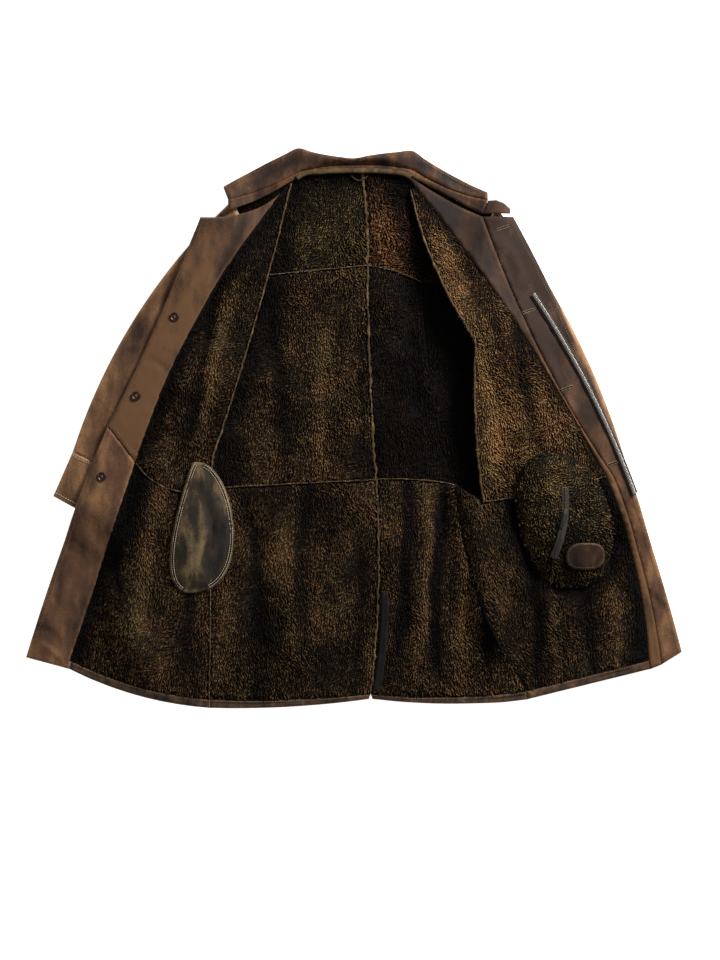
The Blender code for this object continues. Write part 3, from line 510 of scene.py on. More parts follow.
def add_ramp(tree: bpy.types.NodeTree, factor: bpy.types.NodeSocket, stops: Sequence[tuple[float, str]]
             ) -> bpy.types.NodeSocket:
    """Add a colour ramp with hex stops and return its colour socket."""
    ramp = add_node(tree, "ShaderNodeValToRGB", {0: factor})
    elements = ramp.color_ramp.elements
    while len(elements) < len(stops):
        elements.new(0.5)
    for element, (position, colour) in zip(elements, stops):
        element.position = position
        element.color = linear(colour)
    return ramp.outputs["Color"]


def blank_material(name: str) -> tuple[bpy.types.Material, bpy.types.NodeTree, bpy.types.Node]:
    """Make a material and return it with its tree and Principled shader."""
    material = bpy.data.materials.new(name)
    material.use_nodes = True
    tree = material.node_tree
    return material, tree, tree.nodes["Principled BSDF"]


def noise(tree: bpy.types.NodeTree, place: bpy.types.NodeSocket, size: float, detail: float = 3.0,
          roughness: float = 0.55) -> bpy.types.NodeSocket:
    """Add a noise texture whose lumps are about size metres wide, and return its factor."""
    node = add_node(tree, "ShaderNodeTexNoise",
                    {"Vector": place, "Scale": 1.0 / size, "Detail": detail, "Roughness": roughness})
    return node.outputs["Fac"]


@dataclass(frozen=True)
class PileFinish:
    """Sheared sheep's wool, dyed in the skin, with painted shade near black between the locks and a painted highlight
    on the tips where they catch light.

    Args:
        name: The finish's name.
        root: Colour deep in the pile, near black as painted shade.
        middle: Colour of the locks.
        tip: Colour of the tips, paler as a painted highlight.
        other: Colour of the locks where the dye took otherwise.
        other_tip: Colour of the tips there, paler as a painted highlight.
        sheen: Strength of the fibres' soft edge light.
    """
    name: str
    root: str
    middle: str
    tip: str
    other: str
    other_tip: str
    sheen: float = 0.05

    def shader(self, base: bool) -> bpy.types.Material:
        """Make the material of the locks, or of the felted base below them."""
        material, tree, shader = blank_material(self.name + ("_base" if base else "_locks"))
        place = add_node(tree, "ShaderNodeTexCoord").outputs["Object"]
        strands = noise(tree, place, 2.4 * MM, 4.0, 0.7)
        if base:
            # The felted base stays near the root colour: painted shade between the locks.
            level = add_node(tree, "ShaderNodeMath", {0: strands, 1: 0.16}, operation="MULTIPLY").outputs[0]
        else:
            tone = add_node(tree, "ShaderNodeAttribute", attribute_name="tone").outputs["Fac"]
            tip = add_node(tree, "ShaderNodeAttribute", attribute_name="tip").outputs["Fac"]
            # Each lock is painted paler towards its tip: a painted highlight.
            rise = add_node(tree, "ShaderNodeMath", {0: tip, 1: 0.62}, operation="MULTIPLY").outputs[0]
            level = add_node(tree, "ShaderNodeMath", {0: tone, 1: 0.40, 2: rise},
                             operation="MULTIPLY_ADD").outputs[0]
        # The shade attribute carries painted shade and light: shadow bands beside overlapping parts, darker crease
        # troughs, lighter ridges, panels painted lit or in shade, over random tone patches.
        shade = add_node(tree, "ShaderNodeAttribute", attribute_name="shade").outputs["Fac"]
        level = add_node(tree, "ShaderNodeMath", {0: shade, 1: 0.52, 2: level}, operation="MULTIPLY_ADD",
                         use_clamp=True).outputs[0]
        warm = add_ramp(tree, level, ((0.10, self.root), (0.52, self.middle), (0.95, self.tip)))
        cool = add_ramp(tree, level, ((0.10, self.root), (0.52, self.other), (0.95, self.other_tip)))
        patches = noise(tree, place, 48 * MM, 2.0)
        choice = add_node(tree, "ShaderNodeMapRange", {"Value": patches, "From Min": 0.42, "From Max": 0.60})
        colour = add_node(tree, "ShaderNodeMix", {0: choice.outputs["Result"], 6: warm, 7: cool},
                          data_type="RGBA").outputs[2]
        tree.links.new(colour, shader.inputs["Base Color"])
        shader.inputs["Roughness"].default_value = 0.82
        shader.inputs["Specular IOR Level"].default_value = 0.12
        shader.inputs["Sheen Weight"].default_value = self.sheen
        shader.inputs["Sheen Roughness"].default_value = 0.45
        shader.inputs["Sheen Tint"].default_value = linear(self.tip)
        if base:
            bump = add_node(tree, "ShaderNodeBump", {"Height": strands, "Strength": 0.9,
                                                     "Distance": 1.2 * MM})
            tree.links.new(bump.outputs["Normal"], shader.inputs["Normal"])
        return material


@dataclass(frozen=True)
class SuedeFinish:
    """Brushed sheepskin leather: a short nap that mottles, and edges rubbed pale.

    Args:
        name: The finish's name.
        dark: Colour where the nap lies down or is soiled, and painted shade in crease troughs.
        middle: The main colour.
        light: Colour where it is rubbed, and a painted highlight on crease ridges.
        blotch: Width of the mottling in metres.
        roughness: The surface's roughness.
    """
    name: str
    dark: str
    middle: str
    light: str
    blotch: float = 34 * MM
    roughness: float = 0.78

    def shader(self) -> bpy.types.Material:
        """Make the suede material; it reads the piece's wear attribute, which also holds painted shade and highlight
        from the creases.
        """
        material, tree, shader = blank_material(self.name)
        place = add_node(tree, "ShaderNodeTexCoord").outputs["Object"]
        drawn = add_node(tree, "ShaderNodeMapping", {"Vector": place, "Scale": (1.0, 0.38, 1.0)})
        blotches = noise(tree, drawn.outputs[0], self.blotch, 5.0, 0.58)
        nap = noise(tree, place, 3.2 * MM, 3.0, 0.6)
        grain = noise(tree, place, 0.9 * MM, 2.0, 0.6)
        wear = add_node(tree, "ShaderNodeAttribute", attribute_name="wear").outputs["Fac"]
        mixed = add_node(tree, "ShaderNodeMath", {0: nap, 1: 0.30, 2: blotches},
                         operation="MULTIPLY_ADD").outputs[0]
        # The wear attribute adds pale rubbed edges and random tone, and also painted shade in crease troughs and a
        # painted highlight on crease ridges.
        rubbed = add_node(tree, "ShaderNodeMath", {0: wear, 1: 0.20, 2: mixed}, operation="MULTIPLY_ADD")
        level = add_node(tree, "ShaderNodeMapRange", {"Value": rubbed.outputs[0], "From Min": 0.42,
                                                      "From Max": 0.92}).outputs["Result"]
        colour = add_ramp(tree, level, ((0.0, self.dark), (0.5, self.middle), (1.0, self.light)))
        tree.links.new(colour, shader.inputs["Base Color"])
        shader.inputs["Roughness"].default_value = self.roughness
        shader.inputs["Specular IOR Level"].default_value = 0.3
        shader.inputs["Sheen Weight"].default_value = 0.04
        shader.inputs["Sheen Roughness"].default_value = 0.5
        shader.inputs["Sheen Tint"].default_value = linear(self.light)
        height = add_node(tree, "ShaderNodeMath", {0: grain, 1: 0.4, 2: nap}, operation="MULTIPLY_ADD")
        bump = add_node(tree, "ShaderNodeBump", {"Height": height.outputs[0], "Strength": 0.55,
                                                 "Distance": 0.5 * MM})
        tree.links.new(bump.outputs["Normal"], shader.inputs["Normal"])
        return material


@dataclass(frozen=True)
class MetalFinish:
    """Dull nickel-plated brass, tumbled: soft highlights broken by fine scratches."""
    name: str
    colour: str
    roughness: float = 0.36

    def shader(self) -> bpy.types.Material:
        """Make the metal material."""
        material, tree, shader = blank_material(self.name)
        place = add_node(tree, "ShaderNodeTexCoord").outputs["Object"]
        wear = noise(tree, place, 4 * MM, 4.0, 0.7)
        dull = add_node(tree, "ShaderNodeMapRange", {"Value": wear, "To Min": self.roughness - 0.1,
                                                     "To Max": self.roughness + 0.2})
        tree.links.new(dull.outputs["Result"], shader.inputs["Roughness"])
        shader.inputs["Base Color"].default_value = linear(self.colour)
        shader.inputs["Metallic"].default_value = 1.0
        return material


@dataclass(frozen=True)
class WovenFinish:
    """Woven cotton or thread: a fine rib over a matt ground."""
    name: str
    dark: str
    light: str
    rib: float = 0.8 * MM

    def shader(self) -> bpy.types.Material:
        """Make the woven material."""
        material, tree, shader = blank_material(self.name)
        place = add_node(tree, "ShaderNodeTexCoord").outputs["Object"]
        ribs = add_node(tree, "ShaderNodeTexWave", {"Vector": place, "Scale": 0.16 / self.rib,
                                                    "Distortion": 1.5}, bands_direction="DIAGONAL")
        fluff = noise(tree, place, 1.5 * MM, 3.0)
        level = add_node(tree, "ShaderNodeMath", {0: ribs.outputs["Fac"], 1: 0.5, 2: fluff},
                         operation="MULTIPLY_ADD", use_clamp=True).outputs[0]
        tree.links.new(add_ramp(tree, level, ((0.2, self.dark), (0.9, self.light))),
                       shader.inputs["Base Color"])
        shader.inputs["Roughness"].default_value = 0.9
        bump = add_node(tree, "ShaderNodeBump", {"Height": level, "Strength": 0.4, "Distance": 0.3 * MM})
        tree.links.new(bump.outputs["Normal"], shader.inputs["Normal"])
        return material


class Finish(Enum):
    """Every finish on the coat, made once and shared."""
    # Each pile finish's near-black root is painted shade deep in the pile; its tip colours are painted highlights.
    PILE_DARK = PileFinish("umber_wool_pile", "#050302", "#2f2013", "#765838", "#281d10", "#655233")
    PILE_TAN = PileFinish("tan_wool_pile", "#070402", "#4b311d", "#946e47", "#3e2c18", "#7e653f")
    PILE_RED = PileFinish("russet_wool_pile", "#060302", "#3c2415", "#845a38", "#332111", "#725334")
    PILE_OLIVE = PileFinish("olive_wool_pile", "#060402", "#382b18", "#836a41", "#2d2413", "#6d5a37")
    SUEDE_BROWN = SuedeFinish("brown_suede", "#1c110a", "#372417", "#5f4127")
    # A paler brown suede, for the lower left facing and the fly.
    SUEDE_FRONT = SuedeFinish("paler_brown_suede", "#2c1c12", "#5a3d29", "#87633f")
    SUEDE_TAN = SuedeFinish("tan_suede", "#2f1f14", "#64462e", "#9c7450", 42 * MM)
    SUEDE_OLIVE = SuedeFinish("olive_split_suede", "#0c0805", "#2c2216", "#6b593b", 18 * MM)
    LEATHER_DARK = SuedeFinish("dark_nappa", "#100905", "#2c1c11", "#523924", 20 * MM, 0.6)
    HEM_SUEDE = SuedeFinish("hem_suede", "#1a1009", "#43301f", "#75573c", 16 * MM)
    METAL = MetalFinish("aged_nickel", "#b3aea6", 0.36)
    METAL_DARK = MetalFinish("blackened_steel", "#4b4741", 0.5)
    COPPER = MetalFinish("tarnished_copper", "#8a4a38", 0.3)
    TAPE = WovenFinish("zip_tape", "#16110e", "#332a24")
    SEAM_EDGE = SuedeFinish("raw_skin_edge", "#1e150b", "#4a3820", "#7c6440", 7 * MM)
    NECK_TAPE = SuedeFinish("neck_tape", "#2a1e12", "#4a3822", "#6b5536", 12 * MM)
    COLLAR = SuedeFinish("collar_suede", "#120a06", "#382316", "#694729", 22 * MM)
    HORN = SuedeFinish("polished_horn", "#140a08", "#2c1512", "#54302a", 8 * MM, 0.28)
    # Near-black painted shadow, laid in buttonhole slits, pocket seam grooves and the vent's underlay.
    PAINTED_SHADOW = SuedeFinish("buttonhole_shadow", "#050302", "#0c0806", "#1a120d", 8 * MM, 0.95)
    THREAD_GOLD = WovenFinish("waxed_tan_thread", "#5a4630", "#a38a62", 0.4 * MM)
    THREAD_PALE = WovenFinish("pale_thread", "#8f7c66", "#cbb9a0", 0.4 * MM)
    THREAD_BROWN = WovenFinish("brown_thread", "#3d2c20", "#7a5f49", 0.4 * MM)

    def material(self, base: bool = False) -> bpy.types.Material:
        """Return the finish's material, made on first use."""
        key = self.name + ("_BASE" if base else "")
        if key not in MATERIALS:
            made = self.value.shader(base) if isinstance(self.value, PileFinish) else self.value.shader()
            MATERIALS[key] = made
        return MATERIALS[key]


MATERIALS: dict[str, bpy.types.Material] = {}


# --------------------------------------------------------------------------- mesh making

def link_mesh(name: str, points: Array, faces: list | Array, uv: Array | None = None) -> bpy.types.Object:
    """Make an object from points and faces.

    Args:
        name: The object's name.
        points: Vertex places in metres.
        faces: Vertex numbers of each face.
        uv: One UV pair a face corner, for the bake.

    Returns:
        The linked object.
    """
    mesh = bpy.data.meshes.new(name)
    mesh.from_pydata(points.tolist(), [], faces.tolist() if isinstance(faces, np.ndarray) else faces)
    if uv is not None:
        layer = mesh.uv_layers.new(name="OFBake")
        layer.data.foreach_set("uv", uv.astype(np.float32).ravel())
    piece = bpy.data.objects.new(name, mesh)
    bpy.context.scene.collection.objects.link(piece)
    mesh.shade_smooth()
    return piece


def set_attribute(piece: bpy.types.Object, name: str, values: Array) -> None:
    """Store a float or a vector on every vertex of a piece."""
    kind = "FLOAT" if values.ndim == 1 else "FLOAT_VECTOR"
    layer = piece.data.attributes.new(name, kind, "POINT")
    layer.data.foreach_set("value" if values.ndim == 1 else "vector", values.astype(np.float32).ravel())


def place_on(piece: bpy.types.Object, finish: Finish, slot: str, *nodes: str, body: str = BODY,
             second: Finish | None = None) -> bpy.types.Object:
    """Dress a piece and put it on its body.

    Args:
        piece: The piece.
        finish: Its finish, in slot 0.
        slot: The record's material slot; not used.
        nodes: CAD nodes that it stands for.
        body: The body that it rides on.
        second: The finish of its underside, in slot 1.

    Returns:
        The same piece.
    """
    pile = isinstance(finish.value, PileFinish)
    piece.data.materials.append(finish.material(True) if pile else finish.material())
    if second is not None:
        piece.data.materials.append(second.material())
    else:
        piece.data.materials.append(piece.data.materials[0])
    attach(piece, body)
    if nodes:
        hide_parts(*nodes)
    return piece


# --------------------------------------------------------------------------- rows and locks by Geometry Nodes

def to_plain_mesh(maker: bpy.types.Object, name: str) -> bpy.types.Object:
    """Turn an object's evaluated modifiers into a plain mesh, and remove the maker.

    Args:
        maker: The object with the modifier.
        name: The new piece's name.

    Returns:
        The plain piece.
    """
    evaluated = maker.evaluated_get(bpy.context.evaluated_depsgraph_get())
    mesh = bpy.data.meshes.new_from_object(evaluated)
    mesh.name = name
    piece = bpy.data.objects.new(name, mesh)
    bpy.context.scene.collection.objects.link(piece)
    bpy.data.objects.remove(maker)
    return piece


def new_tree(name: str, sizes: dict[str, tuple[str, object]]) -> bpy.types.NodeTree:
    """Make a Geometry Nodes tree.

    Args:
        name: The tree's name.
        sizes: Name of each input, mapped to its socket type and default.

    Returns:
        The tree, with Geometry in and out.
    """
    tree = bpy.data.node_groups.new(name, "GeometryNodeTree")
    tree.interface.new_socket("Geometry", in_out="INPUT", socket_type="NodeSocketGeometry")
    tree.interface.new_socket("Geometry", in_out="OUTPUT", socket_type="NodeSocketGeometry")
    for label, (kind, default) in sizes.items():
        socket = tree.interface.new_socket(label, in_out="INPUT", socket_type=kind)
        if default is not None:
            socket.default_value = default
    return tree


def run_tree(maker: bpy.types.Object, tree: bpy.types.NodeTree, values: dict[str, object]) -> None:
    """Put a tree on an object and set its inputs by their identifiers."""
    modifier = maker.modifiers.new(tree.name, "NODES")
    modifier.node_group = tree
    for item in tree.interface.items_tree:
        if item.item_type == "SOCKET" and item.in_out == "INPUT" and item.name in values:
            modifier[item.identifier] = values[item.name]


def lock_shape() -> bpy.types.Object:
    """Make one lock of wool: a bent closed spike one unit long, with its tip attribute."""
    angles = np.radians([90, 210, 330])
    ring = np.stack([np.cos(angles) * 0.21, np.sin(angles) * 0.15], -1)
    base = np.column_stack([ring, np.full(3, -0.22)])
    middle = np.column_stack([ring * 1.05 + [0.17, 0.03], np.full(3, 0.38)])
    points = np.vstack([base, middle, [[0.04, 0.16, 0.92]]])
    faces = [(2, 1, 0), (0, 1, 4, 3), (1, 2, 5, 4), (2, 0, 3, 5), (3, 4, 6), (4, 5, 6), (5, 3, 6)]
    lock = link_mesh("lock_shape", points, faces)
    set_attribute(lock, "tip", np.array([0, 0, 0, 0.60, 0.60, 0.60, 1.0]))
    return lock


def lock_tree() -> bpy.types.NodeTree:
    """Build the tree that plants locks over a pile surface and leans them with its nap."""
    tree = new_tree("plant_wool_locks", {
        "Lock": ("NodeSocketObject", None), "Spacing": ("NodeSocketFloat", 3.6 * MM),
        "Length": ("NodeSocketFloat", 5.0 * MM), "Seed": ("NodeSocketInt", 1),
        "Material": ("NodeSocketMaterial", None)})
    source = add_node(tree, "NodeGroupInput").outputs
    grow = add_node(tree, "GeometryNodeInputNamedAttribute", {"Name": "grow"}, data_type="FLOAT")
    chosen = add_node(tree, "FunctionNodeCompare", {0: grow.outputs["Attribute"], 1: 0.5},
                      data_type="FLOAT", operation="GREATER_THAN")
    planted = add_node(tree, "GeometryNodeDistributePointsOnFaces", {
        "Mesh": source["Geometry"], "Selection": chosen.outputs["Result"],
        "Distance Min": source["Spacing"], "Density Max": 1.0 / (1.9 * MM) ** 2,
        "Seed": source["Seed"]}, distribute_method="POISSON")
    lean = add_node(tree, "GeometryNodeInputNamedAttribute", {"Name": "lean"}, data_type="FLOAT_VECTOR")
    aim = add_node(tree, "ShaderNodeVectorMath", {0: planted.outputs["Normal"], 1: lean.outputs["Attribute"]},
                   operation="ADD")
    turn = add_node(tree, "FunctionNodeAlignRotationToVector", {"Vector": aim.outputs["Vector"]}, axis="Z")
    spin = add_node(tree, "FunctionNodeRandomValue", {"Min": -1.1, "Max": 1.1, "Seed": 11}, data_type="FLOAT")
    spin.inputs[2].default_value, spin.inputs[3].default_value = -1.1, 1.1
    flow = add_node(tree, "GeometryNodeInputNamedAttribute", {"Name": "flow"}, data_type="FLOAT")
    angle = add_node(tree, "ShaderNodeMath", {0: spin.outputs[1], 1: flow.outputs["Attribute"]}, operation="ADD")
    local = add_node(tree, "FunctionNodeAxisAngleToRotation", {"Axis": (0, 0, 1), "Angle": angle.outputs[0]})
    turned = add_node(tree, "FunctionNodeRotateRotation", {0: turn.outputs[0], 1: local.outputs[0]},
                      rotation_space="LOCAL")
    size = add_node(tree, "FunctionNodeRandomValue", {"Seed": 23}, data_type="FLOAT")
    size.inputs[2].default_value, size.inputs[3].default_value = 0.7, 1.3
    scale = add_node(tree, "ShaderNodeMath", {0: size.outputs[1], 1: source["Length"]}, operation="MULTIPLY")
    shape = add_node(tree, "GeometryNodeObjectInfo", {"Object": source["Lock"]})
    placed = add_node(tree, "GeometryNodeInstanceOnPoints", {
        "Points": planted.outputs["Points"], "Instance": shape.outputs["Geometry"],
        "Rotation": turned.outputs[0], "Scale": scale.outputs[0]})
    tone = add_node(tree, "FunctionNodeRandomValue", {"Seed": 37}, data_type="FLOAT")
    tone.inputs[2].default_value, tone.inputs[3].default_value = 0.0, 1.0
    toned = add_node(tree, "GeometryNodeStoreNamedAttribute", {
        "Geometry": placed.outputs[0], "Name": "tone"}, data_type="FLOAT", domain="INSTANCE")
    value_socket = next(s for s in toned.inputs if s.name == "Value" and s.enabled)
    tree.links.new(tone.outputs[1], value_socket)
    real = add_node(tree, "GeometryNodeRealizeInstances", {0: toned.outputs[0]})
    dressed = add_node(tree, "GeometryNodeSetMaterial", {"Geometry": real.outputs[0],
                                                         "Material": source["Material"]})
    add_node(tree, "NodeGroupOutput", {"Geometry": dressed.outputs[0]})
    return tree


def row_tree() -> bpy.types.NodeTree:
    """Build the tree that sets one small shape after another along a path."""
    tree = new_tree("set_row_along_path", {
        "Shape": ("NodeSocketObject", None), "Spacing": ("NodeSocketFloat", 4.0 * MM),
        "Material": ("NodeSocketMaterial", None)})
    source = add_node(tree, "NodeGroupInput").outputs
    marks = add_node(tree, "GeometryNodeCurveToPoints", {"Curve": source["Geometry"],
                                                         "Length": source["Spacing"]}, mode="LENGTH")
    shape = add_node(tree, "GeometryNodeObjectInfo", {"Object": source["Shape"]})
    upright = add_node(tree, "FunctionNodeAlignRotationToVector", {"Vector": marks.outputs["Tangent"]},
                       axis="X")
    placed = add_node(tree, "GeometryNodeInstanceOnPoints", {
        "Points": marks.outputs["Points"], "Instance": shape.outputs["Geometry"],
        "Rotation": upright.outputs[0]})
    real = add_node(tree, "GeometryNodeRealizeInstances", {0: placed.outputs[0]})
    dressed = add_node(tree, "GeometryNodeSetMaterial", {"Geometry": real.outputs[0],
                                                         "Material": source["Material"]})
    add_node(tree, "NodeGroupOutput", {"Geometry": dressed.outputs[0]})
    return tree


def path_curve(lines: Sequence[Array]) -> bpy.types.Object:
    """Make a curve object of one poly spline for each line."""
    curve = bpy.data.curves.new("path", "CURVE")
    curve.dimensions = "3D"
    for line in lines:
        spline = curve.splines.new("POLY")
        spline.points.add(len(line) - 1)
        spline.points.foreach_set("co", np.column_stack([line, np.ones(len(line))]).ravel())
    maker = bpy.data.objects.new("path", curve)
    bpy.context.scene.collection.objects.link(maker)
    return maker


def bead(length: float, width: float, height: float) -> bpy.types.Object:
    """Make a small closed bead that lies along X, as one stitch does."""
    shares = ((-0.5, 0.35), (-0.25, 1.0), (0.25, 1.0), (0.5, 0.35))
    corners = ((1, 0), (0, 1), (-1, 0), (0, -0.6))
    points = np.array([(x * length, y * s * width / 2, z * s * height) for x, s in shares for y, z in corners])
    faces: list[tuple[int, ...]] = [(0, 1, 2, 3), (15, 14, 13, 12)]
    for ring in range(3):
        for side in range(4):
            a, b = ring * 4 + side, ring * 4 + (side + 1) % 4
            faces.append((b, a, a + 4, b + 4))
    return link_mesh("bead", points, faces)


def block(length: float, width: float, height: float) -> bpy.types.Object:
    """Make a small chamfered block that lies along X, as one zip tooth does."""
    shares = ((0.0, 1.0), (0.75, 1.0), (1.0, 0.7))
    points = np.array([(sx * s * length / 2, sy * s * width / 2, z * height)
                       for z, s in shares for sx, sy in ((-1, -1), (1, -1), (1, 1), (-1, 1))])
    faces: list[tuple[int, ...]] = [(3, 2, 1, 0), (8, 9, 10, 11)]
    for ring in range(2):
        for side in range(4):
            a, b = ring * 4 + side, ring * 4 + (side + 1) % 4
            faces.append((a, b, b + 4, a + 4))
    return link_mesh("block", points, faces)


@dataclass(frozen=True)
class Row:
    """A row of small shapes along paths: stitches or teeth."""
    name: str
    shape: Callable[[], bpy.types.Object]
    spacing: float

    def sew(self, lines: Sequence[Array], finish: Finish, slot: str, body: str = BODY) -> bpy.types.Object:
        """Set the shapes along the lines and return them as one piece.

        Args:
            lines: 3-D paths.
            finish: The shapes' finish.
            slot: The record's material slot; not used.
            body: The body they ride on.

        Returns:
            The joined piece.
        """
        shape, maker = self.shape(), path_curve(lines)
        run_tree(maker, TREES["row"], {"Shape": shape, "Spacing": self.spacing,
                                       "Material": finish.material()})
        piece = to_plain_mesh(maker, self.name)
        bpy.data.objects.remove(shape)
        if not piece.data.materials:
            piece.data.materials.append(finish.material())
        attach(piece, body)
        return piece


TREES: dict[str, bpy.types.NodeTree] = {}


def stitch_row(name: str, length: float = 3.4 * MM, gap: float = 1.4 * MM, width: float = 1.0 * MM) -> Row:
    """Return a row of stitches of a given length and gap."""
    return Row(name, lambda: bead(length, width, 0.45 * MM), length + gap)


def ribbon(name: str, line: Array, width: float, height: float, knobs: float = 0.0, sink: float = 2.0 * MM,
           seed: int = 5) -> bpy.types.Object:
    """Make a narrow closed strip along a 3-D line, domed on top.

    Args:
        name: The piece's name.
        line: Its middle line.
        width: Its width.
        height: How far its crown stands above the line.
        knobs: How unevenly it runs, as a share of its width and height.
        sink: How far it goes down into what it lies on.
        seed: Picks the unevenness.

    Returns:
        The strip.
    """
    line = evenly(line, 2.2 * MM)
    ahead = np.gradient(line[:, :2], axis=0)
    ahead /= np.maximum(np.linalg.norm(ahead, axis=1, keepdims=True), 1e-9)
    side = np.stack([-ahead[:, 1], ahead[:, 0]], -1)
    rough = 1 + knobs * value_noise(line[:, :2], 5 * MM, seed)
    drift = knobs * value_noise(line[:, :2], 9 * MM, seed + 1) * width * 0.6
    rows = []
    for across, up in ((0.5, -1.0), (0.5, 0.25), (0.25, 0.85), (0.0, 1.0), (-0.25, 0.85), (-0.5, 0.25), (-0.5, -1.0)):
        plan = line[:, :2] + side * (across * width * rough + drift)[:, None]
        z = line[:, 2] + (-sink if up < 0 else up * height * rough)
        rows.append(np.column_stack([plan, z]))
    count, columns = len(rows), len(line)
    points = np.vstack(rows)
    number = np.arange(count * columns).reshape(count, columns)
    following = np.roll(number, -1, axis=0)
    quads = np.stack([number[:, :-1], following[:, :-1], following[:, 1:], number[:, 1:]], -1).reshape(-1, 4)
    faces = quads.tolist() + [number[:, 0].tolist()[::-1], number[:, -1].tolist()]
    piece = link_mesh(name, points, faces)
    face_out(piece)
    return piece


def face_out(piece: bpy.types.Object) -> None:
    """Turn every face of a closed piece outwards."""
    mesh = bmesh.new()
    mesh.from_mesh(piece.data)
    bmesh.ops.recalc_face_normals(mesh, faces=mesh.faces)
    mesh.to_mesh(piece.data)
    mesh.free()


# --------------------------------------------------------------------------- the coat's sub-assemblies

@dataclass
class PilePanel:
    """A shearling panel: a closed skin wall and the locks of wool on its top.

    Args:
        node: Its CAD node.
        finish: The wool's finish.
        slot: The record's slot.
        length: Length of a lock.
        curl: How strongly the nap swirls.
        nap: Direction in which the wool lies, in plan.
        creases: Soft folds, placed one by one.
        shaded_by: Neighbours that lie above it: node, width of the band of painted shadow beside it, and its depth.
        painted_light: How much lighter the whole panel is.
    """
    node: str
    finish: Finish
    slot: str
    length: float = 6.8 * MM
    curl: float = 0.75
    nap: tuple[float, float] = (0.0, -1.0)
    creases: tuple[Crease, ...] = ()
    shaded_by: tuple[tuple[str, float, float], ...] = ()
    painted_light: float = 0.0
    spacing: float = 2.85 * MM
    seed: int = 1
    cloth: Cloth = field(init=False)

    def make(self) -> list[bpy.types.Object]:
        self.cloth = Cloth(self.node, 5.0 * MM)
        plan = self.cloth.plan
        lumps = (value_noise(plan, 62 * MM, self.seed + 1) * 2.2 + value_noise(plan, 27 * MM, self.seed) * 1.5
                 + value_noise(plan, 11 * MM, self.seed + 7) * 1.0) * MM
        fall = smoothstep(0.0, 12 * MM, self.cloth.rim)
        creased = sum((crease.lift(self.cloth) for crease in self.creases), np.zeros(len(plan)))
        lift = -2.6 * MM + lumps * fall + creased
        # Painted light and shade: the whole panel painted lit or shaded, crease troughs darker and ridges lighter, over
        # random tone patches.
        shade = (self.painted_light + 0.34 * value_noise(plan, 95 * MM, self.seed + 11)
                 + 0.24 * value_noise(plan * np.array([1.0, 0.55]), 30 * MM, self.seed + 12)
                 + 0.22 * value_noise(plan, 10 * MM, self.seed + 13) + np.clip(creased / (4.5 * MM), -0.9, 0.6))
        # A band of painted shadow beside each neighbour that lies above.
        for name, width, depth in self.shaded_by:
            other = Cloth(name, 8 * MM)
            away, _ = nearest(plan, tree_of(other.plan[other.loop]))
            shade -= depth * np.exp(-(away / width) ** 2)
        wall = self.cloth.build(self.node + "_skin", lift, 3.5 * MM)
        count = len(plan)
        swirl = value_noise(plan, 55 * MM, self.seed + 3) + 0.6 * value_noise(plan, 19 * MM, self.seed + 4)
        angle = math.atan2(self.nap[1], self.nap[0]) + swirl * 1.5 * self.curl
        lean = np.column_stack([np.cos(angle), np.sin(angle), np.zeros(count)]) * 1.5
        both = np.vstack([lean, np.zeros((count, 3))])
        set_attribute(wall, "lean", both)
        set_attribute(wall, "flow", np.r_[swirl * 2.2, np.zeros(count)])
        grow = np.r_[(self.cloth.rim > 0.4 * MM).astype(float), np.zeros(count)]
        set_attribute(wall, "grow", grow)
        set_attribute(wall, "shade", np.r_[shade, np.full(count, -0.5)])
        maker = wall.copy()
        maker.data = wall.data.copy()
        bpy.context.scene.collection.objects.link(maker)
        run_tree(maker, TREES["locks"], {"Lock": LOCK[0], "Spacing": self.spacing, "Length": self.length,
                                         "Seed": self.seed, "Material": self.finish.material()})
        locks = to_plain_mesh(maker, self.node + "_wool")
        place_on(wall, self.finish, self.slot, self.node, second=Finish.SUEDE_TAN)
        locks.data.shade_smooth()
        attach(locks, BODY)
        flat, area = self.cloth.flat_cut()
        LOG.info("%s: %d triangles of wool", self.node, sum(len(f.vertices) - 2 for f in locks.data.polygons))
        return [wall, locks]


LOCK: list[bpy.types.Object] = []


